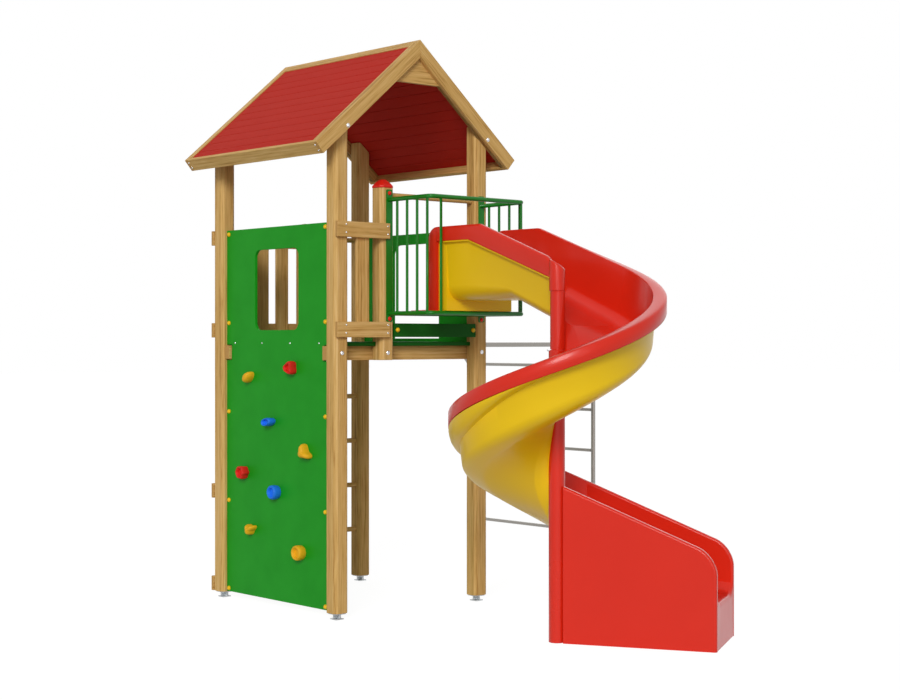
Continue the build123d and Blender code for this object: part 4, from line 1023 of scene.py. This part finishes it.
exit_walls = bmesh.new()
absorb(exit_walls, exit_wall(EXIT_NEAR, EXIT_NEAR_RISE))
absorb(exit_walls, exit_wall(EXIT_FAR - EXIT_WALL, 0.0))
finish_piece("slide_exit_walls", exit_walls, red_shell, ("slide_exit",), sharp=40,
             weighted=True)

chute = bmesh.new()
chute_start = EXIT_RIM - TROUGH_DEPTH - EXIT_FLOOR_SLOPE * EXIT_START
chute_run = EXIT_LENGTH - 20 - EXIT_START
chute_line = []
for step in range(CHUTE_STEPS + 1):
    share = step / CHUTE_STEPS
    height = EXIT_LIP + (chute_start - EXIT_LIP) * (1 - share) ** CHUTE_BEND
    chute_line.append((EXIT_START + chute_run * share, height))
# the lip rolls over into the end face
chute_line += [(EXIT_LENGTH - 10, EXIT_LIP - 4), (EXIT_LENGTH - 3.5, EXIT_LIP - 13),
               (EXIT_LENGTH - 1, EXIT_LIP - 28), (EXIT_LENGTH - 1, 2.0)]
chute_left = EXIT_NEAR + EXIT_WALL - 4
chute_width = EXIT_FAR - EXIT_NEAR - 2 * EXIT_WALL + 8
_, ring = open_line(chute, [exit_point(along, chute_left, z) for along, z in chute_line])
for _ in range(CHUTE_ROWS):
    fresh, ring = extend(chute, ring)
    bmesh.ops.translate(chute, vec=exit_side * (chute_width / CHUTE_ROWS) * MM, verts=list(fresh))
# the floor of the chute runs up into both walls
origin = exit_point(0, chute_left, 0)
for vert in chute.verts:
    share = (vert.co - origin).dot(exit_side) / (chute_width * MM)
    edge_gap = min(share, 1 - share) * chute_width
    if vert.co.z > (EXIT_LIP - 30) * MM:
        vert.co.z += CHUTE_RISE * MM * max(0.0, 1 - edge_gap / CHUTE_FILLET) ** 2
bmesh.ops.recalc_face_normals(chute, faces=chute.faces)
bmesh.ops.solidify(chute, geom=list(chute.faces), thickness=5 * MM)
finish_piece("slide_exit_chute", chute, red_shell, ("slide_exit",), sharp=45)

# climbing holds: profiles of (share of the outline, height above the sheet)
KNOB = ((0.96, 0), (1.0, 10), (0.98, 24), (0.9, 36), (0.72, 46), (0.45, 51), (0.15, 52))
CUP = ((0.9, 0), (0.98, 12), (1.0, 34), (0.95, 44), (0.84, 49), (0.72, 48), (0.62, 40), (0.56, 31),
       (0.2, 29))
HOLD_STEPS = 48


def hold(bm, y, z, radius, bumps, profile, squash=1.0, tilt=0.0):
    """A cast hold: an outline with bumps of (angle, size, sharpness), carried out from the sheet."""
    ring = bmesh.ops.create_circle(bm, cap_ends=False, radius=1.0, segments=HOLD_STEPS)["verts"]
    edges = list({edge for vert in ring for edge in vert.link_edges})
    bmesh.ops.contextual_create(bm, geom=edges)
    levels = [ring]
    for _ in profile[1:]:
        fresh, edges = extend(bm, edges)
        levels.append(fresh)
    bmesh.ops.contextual_create(bm, geom=edges)
    lean = Matrix.Rotation(math.radians(tilt), 2)
    for level, (share, height) in zip(levels, profile):
        for vert in level:
            angle = math.atan2(vert.co.y, vert.co.x)
            swell = 1.0
            for at, size, sharpness in bumps:
                swell += size * max(0.0, math.cos(angle - math.radians(at))) ** sharpness
            reach = radius * share * swell
            flat = lean @ Vector((reach * math.cos(angle), reach * squash * math.sin(angle)))
            vert.co = Vector((PANEL_FACE_X - height, y - flat.x, z + flat.y)) * MM


def holds(name, shapes, material, node):
    """All the holds of one colour."""
    bm = bmesh.new()
    for shape in shapes:
        hold(bm, *shape)
    finish_piece(name, bm, material, (node,), sharp=60)


holds("yellow_holds", ((795.0, 1297.0, 40.0, (), KNOB, 0.58, 42.0),
                       (254.0, 886.0, 24.0, ((100.0, 1.25, 7), (-22.0, 1.35, 9), (205.0, 0.35, 2)), KNOB),
                       (775.0, 420.0, 19.0, ((125.0, 1.0, 8), (32.0, 1.5, 10), (250.0, 0.5, 2)), KNOB),
                       (300.0, 334.0, 42.0, (), CUP)),
      resin_yellow, "climbing_holds_yellow")
holds("blue_holds", ((591.0, 1047.0, 34.0, ((8.0, 0.3, 2), (188.0, 0.3, 2)), CUP, 0.66, 8.0),
                     (535.0, 653.0, 40.0, (), CUP)),
      resin_blue, "climbing_holds_blue")
holds("red_holds", ((380.0, 1355.0, 28.0, ((62.0, 0.5, 6), (-50.0, 0.5, 6), (180.0, 0.4, 4)), CUP),
                    (851.0, 747.0, 31.0, ((55.0, 0.35, 14), (0.0, 0.4, 14), (-60.0, 0.35, 14),
                                          (120.0, 0.25, 10), (180.0, 0.25, 8), (240.0, 0.25, 10)), CUP)),
      resin_red, "climbing_holds_red")

# floor, background and light
floor_bm = bmesh.new()
bmesh.ops.create_grid(floor_bm, x_segments=1, y_segments=1, size=60)
floor_mesh = bpy.data.meshes.new("studio_floor")
floor_bm.to_mesh(floor_mesh)
floor_bm.free()
studio_floor = bpy.data.objects.new("studio_floor", floor_mesh)
bpy.context.scene.collection.objects.link(studio_floor)
floor_finish, floor_tree, floor_shader = new_finish("pale_floor", Roughness=0.9)
floor_shader.inputs["Base Color"].default_value = (0.65, 0.65, 0.65, 1)
glow = add(floor_tree, "Emission", {"Color": (1, 1, 1, 1), "Strength": 1.2})
# the floor keeps a little of its own shading, so that the tower's shadow shows
share = add(floor_tree, "Math", {0: backdrop_share(floor_tree), 1: FLOOR_GLOW},
            operation="MULTIPLY").outputs[0]
mixed = add(floor_tree, "MixShader", {0: share, 1: floor_shader.outputs["BSDF"],
                                      2: glow.outputs["Emission"]})
floor_tree.links.new(mixed.outputs["Shader"], floor_tree.nodes["Material Output"].inputs["Surface"])
floor_mesh.materials.append(floor_finish)

world = bpy.data.worlds.new("studio")
bpy.context.scene.world = world
world.use_nodes = True
sky = world.node_tree
background = sky.nodes["Background"]
background.inputs["Color"].default_value = (1, 1, 1, 1)
strength = add(sky, "MapRange", {"Value": backdrop_share(sky), "To Min": WORLD_LIGHT, "To Max": 1.0})
sky.links.new(strength.outputs["Result"], background.inputs["Strength"])


def sun(name, direction, strength, spread):
    """A soft distant lamp that shines from a direction."""
    lamp = bpy.data.lights.new(name, "SUN")
    lamp.energy = strength
    lamp.angle = math.radians(spread)
    holder = bpy.data.objects.new(name, lamp)
    holder.rotation_euler = Vector(direction).to_track_quat("Z", "Y").to_euler()
    bpy.context.scene.collection.objects.link(holder)


sun("key_light", (-0.72, -0.62, 0.44), 1.84, 22)
sun("low_front_fill", (-0.55, -0.83, 0.06), 0.42, 40)
sun("back_fill", (0.6, 0.7, 0.35), 0.5, 60)

camera = bpy.data.objects.new("camera", bpy.data.cameras.new("camera"))
camera.location = (-5.57541, -7.30691, 1.51553)
camera.rotation_euler = (math.radians(90), 0, math.radians(-41.1583))
camera.data.sensor_width = 36.0
camera.data.lens = 67.823
camera.data.shift_y = -0.01209
bpy.context.scene.collection.objects.link(camera)
bpy.context.scene.camera = camera
bpy.context.scene.view_settings.view_transform = "Standard"
